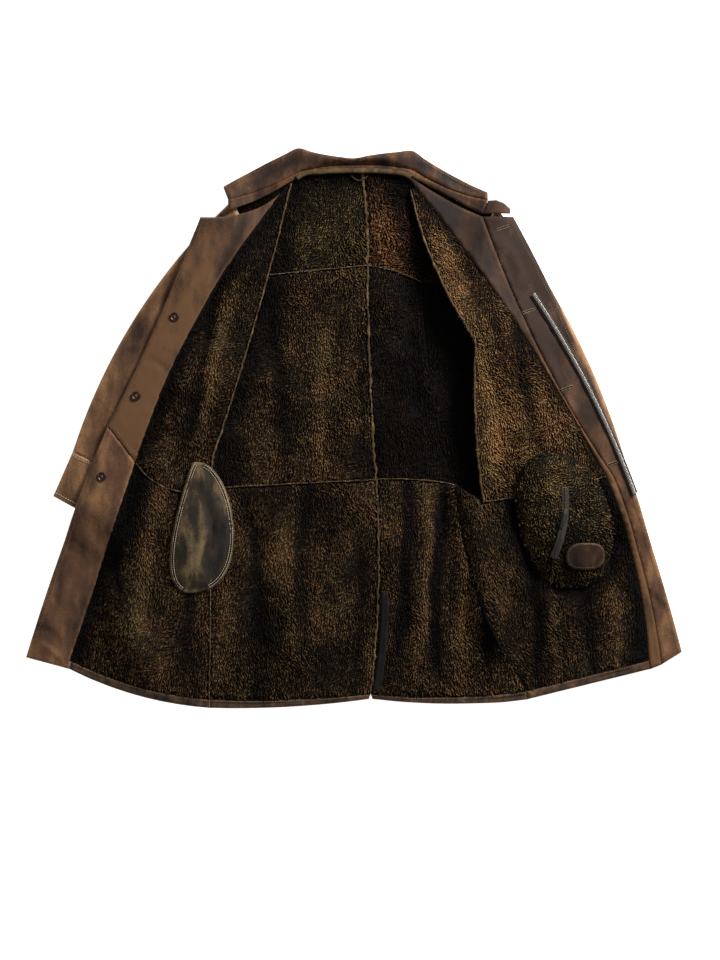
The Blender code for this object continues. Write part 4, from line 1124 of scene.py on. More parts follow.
@dataclass
class SuedePanel:
    """A panel with its suede side up: a thin wall with soft creases and worn edges.

    Args:
        node: Its CAD node.
        finish: The suede's finish.
        slot: The record's slot.
        creases: Soft troughs and ridges, placed one by one.
        ripple: Height of its small unevenness.
        edge: Radius of its rounded edge.
        worn: Width of the band rubbed pale along its rim.
        aged: How much paler it is at its neck end and at its hem end.
    """
    node: str
    finish: Finish
    slot: str
    creases: tuple[Crease, ...] = ()
    ripple: float = 1.1 * MM
    edge: float = 2.6 * MM
    worn: float = 4.5 * MM
    cell: float = 4.0 * MM
    seed: int = 1
    corner: float = 32.0
    aged: tuple[float, float] = (0.0, 0.0)
    second: Finish | None = None
    held: str = "laid"
    cloth: Cloth = field(init=False)

    def make(self) -> bpy.types.Object:
        self.cloth = Cloth(self.node, self.cell, self.corner)
        plan = self.cloth.plan
        soft = (value_noise(plan, 60 * MM, self.seed) * 1.2 + value_noise(plan, 22 * MM, self.seed + 5) * 0.7
                + value_noise(plan, 9 * MM, self.seed + 9) * 0.25) * self.ripple
        creased = sum((crease.lift(self.cloth) for crease in self.creases), np.zeros(len(plan)))
        fall = smoothstep(0.0, 9 * MM, self.cloth.rim)
        bead_edge = 0.5 * MM * np.exp(-((self.cloth.rim - 3.5 * MM) / (1.8 * MM)) ** 2)
        piece = self.cloth.build(self.node + "_suede", soft * fall + creased + bead_edge - 0.6 * MM, self.edge)
        # Pale rubbed edges, plus painted shade in crease troughs and a painted highlight on crease ridges.
        wear = 1.0 - smoothstep(0.0, self.worn, self.cloth.rim) + np.clip(creased / (3 * MM), -0.7, 0.6)
        wear = wear + 0.35 * value_noise(plan, 38 * MM, self.seed + 2)
        # A plain gradient from the neck end to the hem end: paler by the given amounts, darker where they are negative.
        wear = wear + np.interp(self.cloth.share()[:, 1], [0.0, 0.7], self.aged)
        set_attribute(piece, "wear", np.r_[wear, np.zeros(len(plan))])
        place_on(piece, self.finish, self.slot, self.node, second=self.second or self.finish)
        flat, area = self.cloth.flat_cut()
        if area < 0.42 * flat[0] * flat[1]:
            flat, area = self.cloth.strip_cut()
        LOG.info("%s: %d faces", self.node, len(piece.data.polygons))
        return piece


def deep(start: tuple[float, float], stop: tuple[float, float], height: float, width: float = 9.0,
         bow: float = 0.0) -> Crease:
    """Return a crease with its height and half width in millimetres."""
    return Crease(start, stop, height * MM, width * MM, bow)


@dataclass
class Back:
    """The six panels of the back, and the strip of front in the right fold."""
    welt_width: float = 3.2 * MM
    panels: dict[str, PilePanel] = field(default_factory=dict)

    def make(self) -> None:
        """Build the panels and the welts along their seams."""
        dark, red, olive = Finish.PILE_DARK, Finish.PILE_RED, Finish.PILE_OLIVE
        # Painted shadow bands beside the collar stand and the fronts above; the right body and the strip deep in the
        # fold are painted darker as shade.
        collar = ("collar_stand", 26 * MM, 0.9)
        left, right = ("front_body_left", 34 * MM, 0.8), ("front_body_right", 40 * MM, 1.1)
        for panel in (
                PilePanel("back_yoke_left", olive, "pile_olive", curl=0.8, seed=3, shaded_by=(collar, left)),
                PilePanel("back_yoke_right", red, "pile_tan", curl=1.3, length=8.0 * MM, seed=5, painted_light=0.1,
                          shaded_by=(collar, right)),
                PilePanel("back_body_left", dark, "pile_dark", seed=9, shaded_by=(left,),
                          creases=(deep((0.3, 0.1), (0.42, 0.9), -3.0, 14, 0.05),
                                   deep((0.72, 0.2), (0.66, 0.95), 2.4, 13, -0.04),
                                   deep((0.9, 0.25), (0.88, 0.9), -2.4, 10, 0.03))),
                PilePanel("back_body_right", dark, "pile_dark", seed=13, painted_light=-0.6, shaded_by=(right,),
                          creases=(deep((0.4, 0.05), (0.5, 0.8), -2.6, 12, 0.05),)),
                PilePanel("back_skirt_left", dark, "pile_dark", seed=17, painted_light=0.05,
                          creases=(deep((0.2, 0.05), (0.28, 0.95), -2.8, 14, 0.04),
                                   deep((0.42, 0.1), (0.46, 0.9), 2.4, 16, 0.04),
                                   deep((0.6, 0.0), (0.55, 0.7), -2.6, 13, -0.05),
                                   deep((0.88, 0.35), (0.84, 1.0), -3.0, 11, 0.03))),
                PilePanel("back_skirt_right", dark, "pile_dark", seed=21,
                          creases=(deep((0.24, 0.02), (0.14, 0.85), -6.0, 11, 0.03),
                                   deep((0.36, 0.05), (0.28, 0.9), 4.0, 10, 0.03),
                                   deep((0.47, 0.05), (0.42, 0.9), -6.0, 10, -0.03),
                                   deep((0.57, 0.0), (0.56, 0.9), 3.4, 10, 0.02),
                                   deep((0.68, 0.0), (0.74, 0.9), -7.0, 11, 0.04),
                                   deep((0.80, 0.1), (0.90, 0.9), 3.4, 11, 0.04))),
                PilePanel("front_under_right", dark, "pile_dark", seed=25, painted_light=-0.6, shaded_by=(right,))):
            panel.make()
            self.panels[panel.node] = panel
        self.sew_welts()

    def sew_welts(self) -> None:
        """Lay the skins' pale cut edges along the seams."""
        edges = (("back_yoke_left", "back_yoke_right", 5.0), ("back_body_left", "back_body_right", 3.6),
                 ("back_skirt_left", "back_skirt_right", 3.0), ("back_yoke_left", "back_body_left", 1.8),
                 ("back_yoke_right", "back_body_right", 1.8), ("back_body_left", "back_skirt_left", 1.8),
                 ("back_body_right", "back_skirt_right", 1.8))
        for first, second, width in edges:
            line = self.panels[first].cloth.run_beside(self.panels[second].cloth)
            skin_edge("seam_edge_" + first + "_" + second.split("_", 1)[1], line, width * MM)
        hidden = (("back_body_right", "front_under_right"), ("back_yoke_right", "front_under_right"))
        for first, second in hidden:
            line = self.panels[first].cloth.run_beside(self.panels[second].cloth)
            line[:, 2] -= 2.6 * MM
            dark_seam("seam_" + first + "_" + second, line, 5 * MM)
        under = self.panels["front_under_right"].cloth
        line = under.longest_run(under.inward()[:, 1] > 0.5, -3 * MM, -5 * MM)
        dark_seam("waist_allowance_right", line, 16 * MM)
        side = self.panels["back_body_left"].cloth
        line = side.longest_run(side.inward()[:, 0] > 0.6, -5 * MM, -4 * MM)
        dark_seam("side_allowance_left", line, 18 * MM)
        stand, necks = Cloth("collar_stand", 4 * MM), [self.panels["back_yoke_" + side].cloth for side in
                                                       ("left", "right")]
        away, _ = nearest(stand.plan[stand.loop], tree_of(np.vstack([neck.plan[neck.loop] for neck in necks])))
        line = stand.longest_run(away < 4 * MM, -1.5 * MM)
        line[:, 2] = np.interp(line[:, 0], [line[:, 0].min(), line[:, 0].max()], [line[:, 2].min()] * 2) + 0.5 * MM
        down_to_yokes = float(line[:, 2].max()) - 1 * MM
        piece = ribbon("neck_tape", line, 8 * MM, 1.0 * MM, 0.05, down_to_yokes, 5)
        place_on(piece, Finish.NECK_TAPE, "suede_olive")


def skin_edge(name: str, line: Array, width: float) -> None:
    """Lay the uneven pale edge of two skins sewn together along a seam."""
    piece = ribbon(name, line, width, 0.5 * MM, 0.75, 3 * MM, len(name))
    place_on(piece, Finish.SEAM_EDGE, "suede_olive")


def dark_seam(name: str, line: Array, width: float) -> None:
    """Lay a seam allowance with its wool on, low between two panels, darkened as painted shade."""
    piece = ribbon(name, line, width, 0.4 * MM, 0.1, 3 * MM, len(name))
    # Painted shade: the allowance lies low in the gap between the panels.
    set_attribute(piece, "shade", np.full(len(piece.data.vertices), -0.5))
    place_on(piece, Finish.PILE_DARK, "pile_dark")


@dataclass
class Fronts:
    """The opened fronts' shearling panels."""
    panels: dict[str, PilePanel] = field(default_factory=dict)
    turn_bulge: float = 12 * MM
    turn_foot: float = 36 * MM

    def make(self, back: Back) -> None:
        """Build the panels and the skin edges along their seams and folds."""
        dark, tan = Finish.PILE_DARK, Finish.PILE_TAN
        # Painted shadow bands beside the facings and the right pocket above; the right body is painted lighter where
        # lit.
        for panel in (
                PilePanel("front_body_left", dark, "pile_dark", nap=(-0.35, -0.9), seed=31,
                          shaded_by=(("facing_left_upper", 22 * MM, 0.9),),
                          creases=(deep((0.5, 0.35), (0.25, 0.9), -3.4, 11, 0.05),
                                   deep((0.66, 0.3), (0.42, 0.95), 3.0, 13, -0.05),
                                   deep((0.85, 0.3), (0.62, 0.95), -2.4, 11, 0.05))),
                PilePanel("front_skirt_left", dark, "pile_dark", nap=(-0.3, -0.95), seed=37, painted_light=0.1,
                          shaded_by=(("facing_left_lower", 24 * MM, 1.0),),
                          creases=(deep((0.55, 0.02), (0.35, 0.6), -4.4, 11, -0.08),
                                   deep((0.66, 0.05), (0.5, 0.8), 3.2, 14, -0.05),
                                   deep((0.78, 0.1), (0.8, 0.9), -3.2, 13, 0.04))),
                PilePanel("front_body_right", tan, "pile_tan", nap=(0.25, -0.95), curl=1.0, seed=41, painted_light=0.22,
                          shaded_by=(("facing_right_strip", 12 * MM, 0.9),),
                          creases=(deep((0.3, 0.45), (0.42, 0.95), 3.0, 14, 0.06),
                                   deep((0.22, 0.2), (0.5, 0.6), -2.6, 12, 0.05),
                                   deep((0.55, 0.4), (0.7, 0.9), -3.0, 13, -0.05),
                                   deep((0.6, 0.3), (0.85, 0.8), 2.6, 13, 0.04))),
                PilePanel("front_skirt_right", dark, "pile_dark", nap=(0.25, -0.95), seed=47, painted_light=-0.1,
                          shaded_by=(("facing_right_strip", 22 * MM, 1.0), ("pocket_bag_right", 20 * MM, 0.8)),
                          creases=(deep((0.3, 0.15), (0.42, 0.95), -4.0, 10, 0.04),
                                   deep((0.42, 0.3), (0.5, 0.95), 2.8, 10, 0.04),
                                   deep((0.62, 0.45), (0.72, 0.98), -3.4, 12, 0.04),
                                   deep((0.8, 0.5), (0.84, 0.98), 2.6, 12, 0.04)))):
            panel.make()
            self.panels[panel.node] = panel
        self.edge_fold(back)

    def edge_fold(self, back: Back) -> None:
        """Lay the pale skin edge along the right front's free fold, and the waist and side seams."""
        body = self.panels["front_body_right"].cloth
        near = np.concatenate([back.panels[name].cloth.plan[back.panels[name].cloth.loop] for name in
                               ("front_under_right",)])
        rim = body.plan[body.loop]
        inner = np.abs(body.inward()[:, 0]) > 0.6
        leftward = body.inward()[:, 0] > 0.3
        line = body.longest_run(inner & leftward & (rim[:, 1] > near[:, 1].min() - 5 * MM), 1.6 * MM, -1.0 * MM)
        piece = ribbon("skin_edge_fold_right", line, 3.4 * MM, 1.2 * MM, 0.5, 3 * MM, 7)
        place_on(piece, Finish.SEAM_EDGE, "suede_olive")
        left = self.panels["front_body_left"].cloth
        skin_edge("skin_edge_fold_left", left.longest_run(left.inward()[:, 0] < -0.6, 1.2 * MM, 0.6 * MM), 2.4 * MM)
        self.side_turn(back)
        for first, second, width in (("front_body_left", "front_skirt_left", 1.8),
                                     ("front_body_right", "front_skirt_right", 1.8)):
            line = self.panels[first].cloth.run_beside(self.panels[second].cloth)
            skin_edge("seam_edge_" + first + "_waist", line, width * MM)
        side = self.panels["front_skirt_left"].cloth.run_beside(back.panels["back_skirt_left"].cloth)
        skin_edge("seam_edge_side_left", side, 2.0 * MM)
        side = self.panels["front_skirt_right"].cloth.run_beside(back.panels["back_skirt_right"].cloth)
        side[:, 2] -= 2.6 * MM
        dark_seam("seam_side_right", side, 5 * MM)

    def side_turn(self, back: Back) -> None:
        """Turn the right front round at its side, from the strip deep in the fold up to the free flap."""
        under = back.panels["front_under_right"].cloth
        edge = under.longest_run(under.inward()[:, 0] < -0.5, 2 * MM, -5 * MM)
        edge = edge[np.argsort(edge[:, 1])]
        foot = edge[0] - [0.0, self.turn_foot, 0.0]
        edge = evenly(np.vstack([foot, edge]), 6 * MM)
        flap = self.panels["front_body_right"].cloth
        bulge = np.interp(edge[:, 1], [0.10, 0.20], [self.turn_bulge, 2 * MM])
        turned_cloth("side_turn_right", edge, flap.height_at(edge[:, :2]) - 5 * MM, bulge)


def turned_cloth(name: str, edge: Array, top: Array, bulge: Array, thick: float = 1.6 * MM) -> None:
    """Stand a thin closed strip of cloth up from an edge.

    Args:
        name: The piece's name.
        edge: The 3-D line it starts from.
        top: The height it ends at, for each point of the edge.
        bulge: How far it rounds outwards half way up, for each point of the edge.
        thick: Its thickness.
    """
    ahead = np.gradient(edge[:, :2], axis=0)
    ahead /= np.maximum(np.linalg.norm(ahead, axis=1, keepdims=True), 1e-9)
    outward = np.stack([ahead[:, 1], -ahead[:, 0]], -1)
    shares = np.linspace(0, 1, 9)
    rows = [np.column_stack([edge[:, :2] + outward * (bulge * math.sin(math.pi * share) + shift)[:, None],
                             edge[:, 2] + (top - edge[:, 2]) * share])
            for shift, order in ((0.0, shares), (thick, shares[::-1])) for share in order]
    count, columns = len(rows), len(edge)
    number = np.arange(count * columns).reshape(count, columns)
    following = np.roll(number, -1, axis=0)
    quads = np.stack([number[:, :-1], following[:, :-1], following[:, 1:], number[:, 1:]], -1).reshape(-1, 4)
    ends = [[int(number[row, column]), int(number[row + 1, column]), int(number[count - 2 - row, column]),
             int(number[count - 1 - row, column])]
            for column in (0, columns - 1) for row in range(len(shares) - 1)]
    piece = link_mesh(name, np.vstack(rows), quads.tolist() + ends)
    face_out(piece)
    # Painted shade: the strip stands deep in the fold.
    set_attribute(piece, "shade", np.full(len(piece.data.vertices), -0.6))
    place_on(piece, Finish.PILE_DARK, "pile_dark")


@dataclass
class Facings:
    """The suede facings of both fronts, with their stitching and buttonholes."""
    stitch_inset: float = 7.5 * MM
    panels: dict[str, SuedePanel] = field(default_factory=dict)

    def make(self) -> None:
        """Build the four facings and sew them."""
        front, dark = Finish.SUEDE_FRONT, Finish.SUEDE_BROWN
        for panel in (
                SuedePanel("facing_left_upper", dark, "suede_brown", seed=51, aged=(0.0, 1.9), creases=(
                    deep((0.75, 0.12), (0.52, 0.42), -2.6, 7, 0.05),
                    deep((0.55, 0.3), (0.3, 0.55), 1.8, 9, -0.05),
                    deep((0.45, 0.55), (0.2, 0.8), -1.7, 8, 0.06),
                    deep((0.22, 0.62), (0.4, 0.72), -1.4, 7, 0.1))),
                SuedePanel("facing_left_lower", front, "suede_brown", seed=57, creases=(
                    deep((0.7, 0.05), (0.5, 0.45), 1.8, 10, 0.05),
                    deep((0.45, 0.4), (0.3, 0.8), -1.8, 9, -0.05),
                    deep((0.1, 0.82), (0.32, 0.9), -1.7, 6, 0.1),
                    deep((0.12, 0.9), (0.36, 0.97), 1.4, 6, 0.1))),
                SuedePanel("facing_right_strip", dark, "suede_brown", seed=61, worn=5 * MM, aged=(-1.0, 1.2)),
                SuedePanel("facing_right_fly", front, "suede_brown", seed=67, aged=(-1.9, 0.1), creases=(
                    deep((0.08, 0.05), (0.2, 0.16), 2.2, 10, 0.05),
                    deep((0.34, 0.3), (0.42, 0.5), -1.4, 8, 0.05),
                    deep((0.6, 0.55), (0.72, 0.75), 1.4, 9, -0.04),
                    deep((0.78, 0.82), (0.95, 0.9), -1.5, 6, 0.1)))):
            panel.make()
            self.panels[panel.node] = panel
        self.sew()

    def outer_edge(self, node: str, left: bool) -> Callable[[float, float], Array]:
        """Return a function that reads a facing's long outer edge at an inset and a lift."""
        cloth = self.panels[node].cloth
        facing_in = cloth.inward()[:, 0] > 0.55 if left else cloth.inward()[:, 0] < -0.55
        return lambda inset, lift: cloth.longest_run(facing_in, inset, lift)

    def sew(self) -> None:
        """Run the topstitching round the outer edges, and a row along the seam."""
        lines = [self.outer_edge(node, left)(self.stitch_inset, 0.1 * MM) for node, left in
                 (("facing_left_upper", True), ("facing_left_lower", True), ("facing_right_fly", False))]
        stitch_row("stitches_facing_edges").sew(lines, Finish.THREAD_BROWN, "leather_dark")
        seam = self.panels["facing_left_upper"].cloth.run_beside(self.panels["facing_left_lower"].cloth,
                                                                4 * MM, 0.1 * MM)
        stitch_row("stitches_diagonal").sew([seam], Finish.THREAD_BROWN, "leather_dark")


@dataclass
class Hem:
    """The leather bands that bind the hem, and the vent's underlay."""
    panels: dict[str, SuedePanel] = field(default_factory=dict)

    def make(self) -> None:
        """Build the bands, stitch them and finish the vent."""
        for number, side in enumerate(("front_left", "back_left", "back_right", "front_right")):
            node = "hem_band_" + side
            panel = SuedePanel(node, Finish.HEM_SUEDE, "suede_tan", cell=3 * MM, ripple=2.4 * MM,
                               edge=3.2 * MM, worn=3 * MM, seed=71 + number)
            panel.make()
            self.panels[node] = panel
        lines = []
        for panel in self.panels.values():
            cloth = panel.cloth
            lines.append(cloth.longest_run(cloth.inward()[:, 1] < -0.5, 3.2 * MM, 0.1 * MM))
        stitch_row("stitches_hem").sew(lines, Finish.THREAD_BROWN, "leather_dark")
        # The vent's underlay is painted near black as the shadow inside the vent.
        SuedePanel("vent_underlay", Finish.PAINTED_SHADOW, "leather_dark", cell=2.5 * MM, ripple=0.3 * MM,
                   edge=0.8 * MM, worn=2 * MM, seed=79).make()


@dataclass
class Sleeves:
    """Both sleeves and their cuffs, flattened with the suede out."""

    def make(self) -> None:
        """Build the tubes' halves and stitch the cuffs."""
        lines = []
        for side, first, second in (("left", 83, 0.3), ("right", 97, 0.6)):
            creases = (deep((0.85, 0.25), (0.45, 0.35), -3.0, 12, 0.08), deep((0.6, 0.5), (0.3, 0.62), 2.2, 13, -0.06),
                       deep((0.35, 0.75), (0.1, 0.85), -2.0, 10, 0.06))
            for half in ("top", "under"):
                sleeve = SuedePanel("sleeve_%s_%s" % (side, half), Finish.SUEDE_TAN, "suede_tan", seed=first,
                                    creases=creases if half == "top" else (), worn=10 * MM,
                                    cell=(4.5 if half == "top" else 7.0) * MM)
                sleeve.make()
                cuff = SuedePanel("cuff_%s_%s" % (side, half), Finish.SUEDE_TAN, "suede_tan", seed=first + 3,
                                  worn=8 * MM, cell=(3.5 if half == "top" else 7.0) * MM)
                cuff.make()
                if half == "top":
                    for inset in (2.4 * MM, 6.4 * MM):
                        lines.append(cuff.cloth.run_beside(sleeve.cloth, inset, 0.15 * MM))
                    mouth = cuff.cloth.longest_run(cuff.cloth.inward()[:, 1] > 0.75, 8 * MM, 0.15 * MM)
                    lines.append(mouth)
        stitch_row("stitches_cuffs", 3.6 * MM, 1.2 * MM, 1.3 * MM).sew(lines, Finish.THREAD_PALE, "suede_tan")


@dataclass
class Collar:
    """The collar's rolled fall, its stand, the throat tab and the hanger loop."""

    def make(self) -> None:
        """Build the collar and stitch its edges."""
        fall = SuedePanel("collar_fall", Finish.COLLAR, "suede_brown", cell=3.2 * MM, ripple=1.3 * MM, seed=101,
                          worn=5 * MM, edge=3.5 * MM, held="folded", corner=62.0, creases=(
                              deep((0.1, 0.7), (0.3, 0.25), -2.2, 7, 0.05), deep((0.42, 0.5), (0.6, 0.6), -2.4, 6, 0.1),
                              deep((0.7, 0.25), (0.92, 0.75), -2.0, 7, 0.05), deep((0.3, 0.35), (0.45, 0.6), 1.6, 7, 0.05)))
        fall.make()
        stand = SuedePanel("collar_stand", Finish.COLLAR, "suede_brown", cell=3.2 * MM, ripple=0.8 * MM,
                           seed=103, worn=3 * MM, edge=2 * MM)
        stand.make()
        tab = SuedePanel("throat_tab", Finish.SUEDE_BROWN, "suede_tan", cell=2.5 * MM, corner=18.0, ripple=0.2 * MM, seed=107,
                         edge=0.8 * MM, worn=2 * MM)
        tab.make()
        outer = fall.cloth.longest_run(fall.cloth.inward()[:, 1] < -0.3, 6 * MM, 0.1 * MM)
        stitch_row("stitches_collar").sew([outer], Finish.THREAD_BROWN, "leather_dark")
        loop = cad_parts["hanger_loop"]
        for material in loop.material_slots:
            material.material = Finish.LEATHER_DARK.material()


@dataclass
class Pockets:
    """The two pocket bags, and the right one's zip and leather patch."""

    def make(self) -> None:
        """Build the bags and what lies on them."""
        self.left()
        self.right()

    def left(self) -> None:
        """Build the left bag: split suede with a middle fold painted dark as shade, and seams down both sides with
        grooves painted dark as shadow.
        """
        bag = SuedePanel("pocket_bag_left", Finish.SUEDE_OLIVE, "suede_olive", cell=3 * MM, ripple=1.5 * MM, seed=111,
                         worn=8 * MM, edge=2.4 * MM, creases=(
                             deep((0.5, 0.2), (0.62, 0.8), -4.2, 9, 0.06), deep((0.52, 0.1), (0.3, 0.9), 2.4, 10, 0.05),
                             deep((0.78, 0.45), (0.66, 0.9), -3.2, 9, 0.05), deep((0.2, 0.5), (0.3, 0.85), 1.5, 7, 0.05)))
        bag.make()
        cloth = bag.cloth
        for name, chosen, inset in (("right", cloth.inward()[:, 0] < -0.45, 5.0 * MM),
                                    ("left", cloth.inward()[:, 0] > 0.45, 6.0 * MM)):
            groove = ribbon("bag_seam_" + name, cloth.longest_run(chosen, inset, 0.0), 1.7 * MM, 0.35 * MM, 0.2,
                            1.5 * MM, 4)
            # The seam's groove is painted near black as its shadow.
            place_on(groove, Finish.PAINTED_SHADOW, "leather_dark")
            lips = [cloth.longest_run(chosen, inset + step, 0.1 * MM) for step in (-1.9 * MM, 1.9 * MM)]
            stitch_row("stitches_bag_" + name, 3.6 * MM, 0.8 * MM, 1.2 * MM).sew(lips, Finish.THREAD_PALE,
                                                                                "suede_olive")

    def right(self) -> None:
        """Build the right bag: curly shearling, its zip, and the leather patch."""
        PilePanel("pocket_bag_right", Finish.PILE_OLIVE, "pile_olive", curl=1.6, length=6.4 * MM, spacing=3.3 * MM,
                  seed=121).make()
        tape = SuedePanel("pocket_zip_tape", Finish.TAPE, "zip_tape", cell=2.2 * MM, ripple=0.2 * MM, edge=0.4 * MM,
                          seed=127)
        tape.make()
        teeth_along("pocket_zip_teeth", tape.cloth.centreline(), 3.4 * MM, 1.2 * MM, Finish.METAL_DARK)
        patch = SuedePanel("pocket_patch", Finish.LEATHER_DARK, "leather_dark", cell=2.5 * MM, ripple=0.5 * MM,
                           edge=1.0 * MM, worn=3 * MM, seed=131)
        patch.make()
        rim = patch.cloth.longest_run(patch.cloth.rim[patch.cloth.loop] >= 0.0, 3 * MM, 0.1 * MM)
        stitch_row("stitches_patch").sew([rim], Finish.THREAD_BROWN, "leather_dark")
        slider = rounded_copy("pocket_zip_slider", 0.7 * MM)
        place_on(slider, Finish.METAL_DARK, "zip_metal", "pocket_zip_slider")
        pull = rounded_copy("pocket_zip_pull", 0.35 * MM)
        place_on(pull, Finish.METAL_DARK, "zip_metal", "pocket_zip_pull", body=PULL_BODY)


def rounded_copy(node: str, radius: float) -> bpy.types.Object:
    """Copy a CAD node, weld it and round its edges.

    Args:
        node: The node.
        radius: Radius of the rounded edges.

    Returns:
        The finished copy.
    """
    mesh = bmesh.new()
    mesh.from_mesh(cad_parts[node].data)
    bmesh.ops.remove_doubles(mesh, verts=mesh.verts, dist=0.01 * MM)
    bmesh.ops.dissolve_limit(mesh, angle_limit=math.radians(2), verts=mesh.verts, edges=mesh.edges)
    bmesh.ops.bevel(mesh, geom=mesh.edges, offset=radius, segments=2, profile=0.6, affect="EDGES")
    bmesh.ops.recalc_face_normals(mesh, faces=mesh.faces)
    data = bpy.data.meshes.new(node + "_finished")
    mesh.to_mesh(data)
    mesh.free()
    data.shade_smooth()
    data.set_sharp_from_angle(angle=math.radians(45))
    piece = bpy.data.objects.new(node + "_finished", data)
    bpy.context.scene.collection.objects.link(piece)
    return piece


def teeth_along(name: str, line: Array, width: float, height: float, finish: Finish) -> bpy.types.Object:
    """Set a row of zip teeth along a line.

    Args:
        name: The row's name.
        line: The teeth's middle line.
        width: Their width across the tape.
        height: Their height.
        finish: Their metal.

    Returns:
        The joined teeth.
    """
    return Row(name, lambda: block(1.7 * MM, width, height), 2.6 * MM).sew([line], finish, "zip_metal")


@dataclass
class Fastenings:
    """The front zip and buttonholes on the right fly, and the buttons on the left facing."""
    hole_length: float = 22 * MM
    hole_slope: float = math.radians(20)
    hole_gap: float = 2 * MM

    def make(self, facings: Facings) -> None:
        """Build the zip, the buttonholes and the buttons."""
        tape = SuedePanel("front_zip_tape", Finish.TAPE, "zip_tape", cell=2.4 * MM, ripple=0.15 * MM, edge=0.4 * MM,
                          seed=141)
        tape.make()
        teeth = Cloth("front_zip_teeth", 2.4 * MM)
        cord = teeth.build("front_zip_teeth_cord", np.full(len(teeth.plan), -0.9 * MM), 0.4 * MM)
        place_on(cord, Finish.TAPE, "zip_tape", "front_zip_teeth")
        line = teeth.centreline()
        line[:, 2] -= 0.9 * MM
        teeth_along("front_zip_metal_teeth", line, 6.4 * MM, 1.5 * MM, Finish.METAL)
        self.cut_holes(facings)
        for number in (1, 2, 3):
            self.button("button_%d" % number)

    def hole_shares(self, facings: Facings, edge: Array) -> list[float]:
        """Return how far down the right front each buttonhole lies, from the buttons opposite.

        The hems meet when the coat is buttoned, so a hole is as high above its hem as its button is.

        Args:
            facings: The facings, for the left front's hem.
            edge: The right front's line of holes, from neck to hem.

        Returns:
            Shares from neck to hem: one to a button, and one a button's spacing above them.
        """
        hem = float(facings.panels["facing_left_lower"].cloth.plan[:, 1].min())
        length = edge[0, 1] - edge[-1, 1]
        shares = []
        for node in ("button_1", "button_2", "button_3"):
            low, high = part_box(node)
            shares.append(float(1 - ((low[1] + high[1]) / 2 - hem) / length))
        shares.sort()
        spacing = (shares[-1] - shares[0]) / (len(shares) - 1)
        return [max(0.0, shares[0] - spacing)] + shares

    def cut_holes(self, facings: Facings) -> None:
        """Lay the buttonholes: a slit painted dark as its shadow between two pale rows of thread, square to the edge.
        """
        cloth = facings.panels["facing_right_fly"].cloth
        edge = cloth.run_beside(facings.panels["facing_right_strip"].cloth)
        edge = edge[np.argsort(-edge[:, 1])]
        slits, threads = [], []
        outward = np.array([math.cos(self.hole_slope), math.sin(self.hole_slope)])
        outer = cloth.plan[cloth.loop][cloth.inward()[:, 0] < -0.5]
        zip_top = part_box("front_zip_tape")[1][1]
        for share in self.hole_shares(facings, edge):
            start = along(edge, np.array([share]))[0, :2]
            width = float(np.linalg.norm(outer - start, axis=1).min())
            inset = self.hole_gap if start[1] < zip_top else max(self.hole_gap, (width - self.hole_length) / 2)
            plan = start + outward * (inset + np.linspace(0, self.hole_length, 12)[:, None])
            slits.append(np.column_stack([plan, cloth.height_at(plan) - 0.3 * MM]))
            side = np.array([-outward[1], outward[0]])
            for turn in (-1, 1):
                row = plan + side * turn * 1.7 * MM
                threads.append(np.column_stack([row, cloth.height_at(row) + 0.1 * MM]))
        for number, slit in enumerate(slits, 1):
            piece = ribbon("buttonhole_%d" % number, slit, 2.0 * MM, 0.5 * MM, 0.1, 1.5 * MM, number)
            # Each slit is painted near black as its shadow.
            place_on(piece, Finish.PAINTED_SHADOW, "leather_dark")
        stitch_row("buttonhole_threads", 1.6 * MM, 0.3 * MM, 1.2 * MM).sew(threads, Finish.THREAD_GOLD, "leather_dark")

    def button(self, node: str) -> None:
        """Turn one button: a rolled rim, a dished middle and crossed thread."""
        low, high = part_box(node)
        centre = (Vector(low) + Vector(high)) / 2
        radius, height = (high[0] - low[0]) / 2 * 0.92, high[2] - low[2]
        profile = ((0.0, 0.0), (0.82, 0.0), (0.97, 0.22), (1.0, 0.55), (0.95, 0.88), (0.84, 1.0), (0.74, 0.93),
                   (0.66, 0.66), (0.4, 0.58), (0.0, 0.56))
        sides = 36
        points, faces = [(centre.x, centre.y, low[2])], []
        for share, up in profile[1:-1]:
            for step in range(sides):
                angle = 2 * math.pi * step / sides
                points.append((centre.x + radius * share * math.cos(angle), centre.y + radius * share * math.sin(angle),
                               low[2] + up * height))
        points.append((centre.x, centre.y, low[2] + profile[-1][1] * height))
        rings = len(profile) - 2
        for step in range(sides):
            after = (step + 1) % sides
            faces.append((0, 1 + after, 1 + step))
            for ring in range(rings - 1):
                a = 1 + ring * sides
                faces.append((a + step, a + after, a + sides + after, a + sides + step))
            last = 1 + (rings - 1) * sides
            faces.append((last + step, last + after, len(points) - 1))
        piece = link_mesh(node + "_turned", np.array(points), faces)
        face_out(piece)
        place_on(piece, Finish.HORN, "button_horn", node)
        rise = low[2] + 0.62 * height
        arm = 2.6 * MM
        lines = [np.array([(centre.x - dx * arm, centre.y - dy * arm, rise), (centre.x + dx * arm, centre.y + dy * arm, rise)])
                 for dx, dy in ((0.7, 0.7), (-0.7, 0.7))]
        for number, line in enumerate(lines, 1):
            thread = ribbon("%s_thread_%d" % (node, number), line, 1.1 * MM, 0.6 * MM, 0.0, 0.4 * MM, 3)
            place_on(thread, Finish.THREAD_BROWN, "button_horn")


# --------------------------------------------------------------------------- camera and light

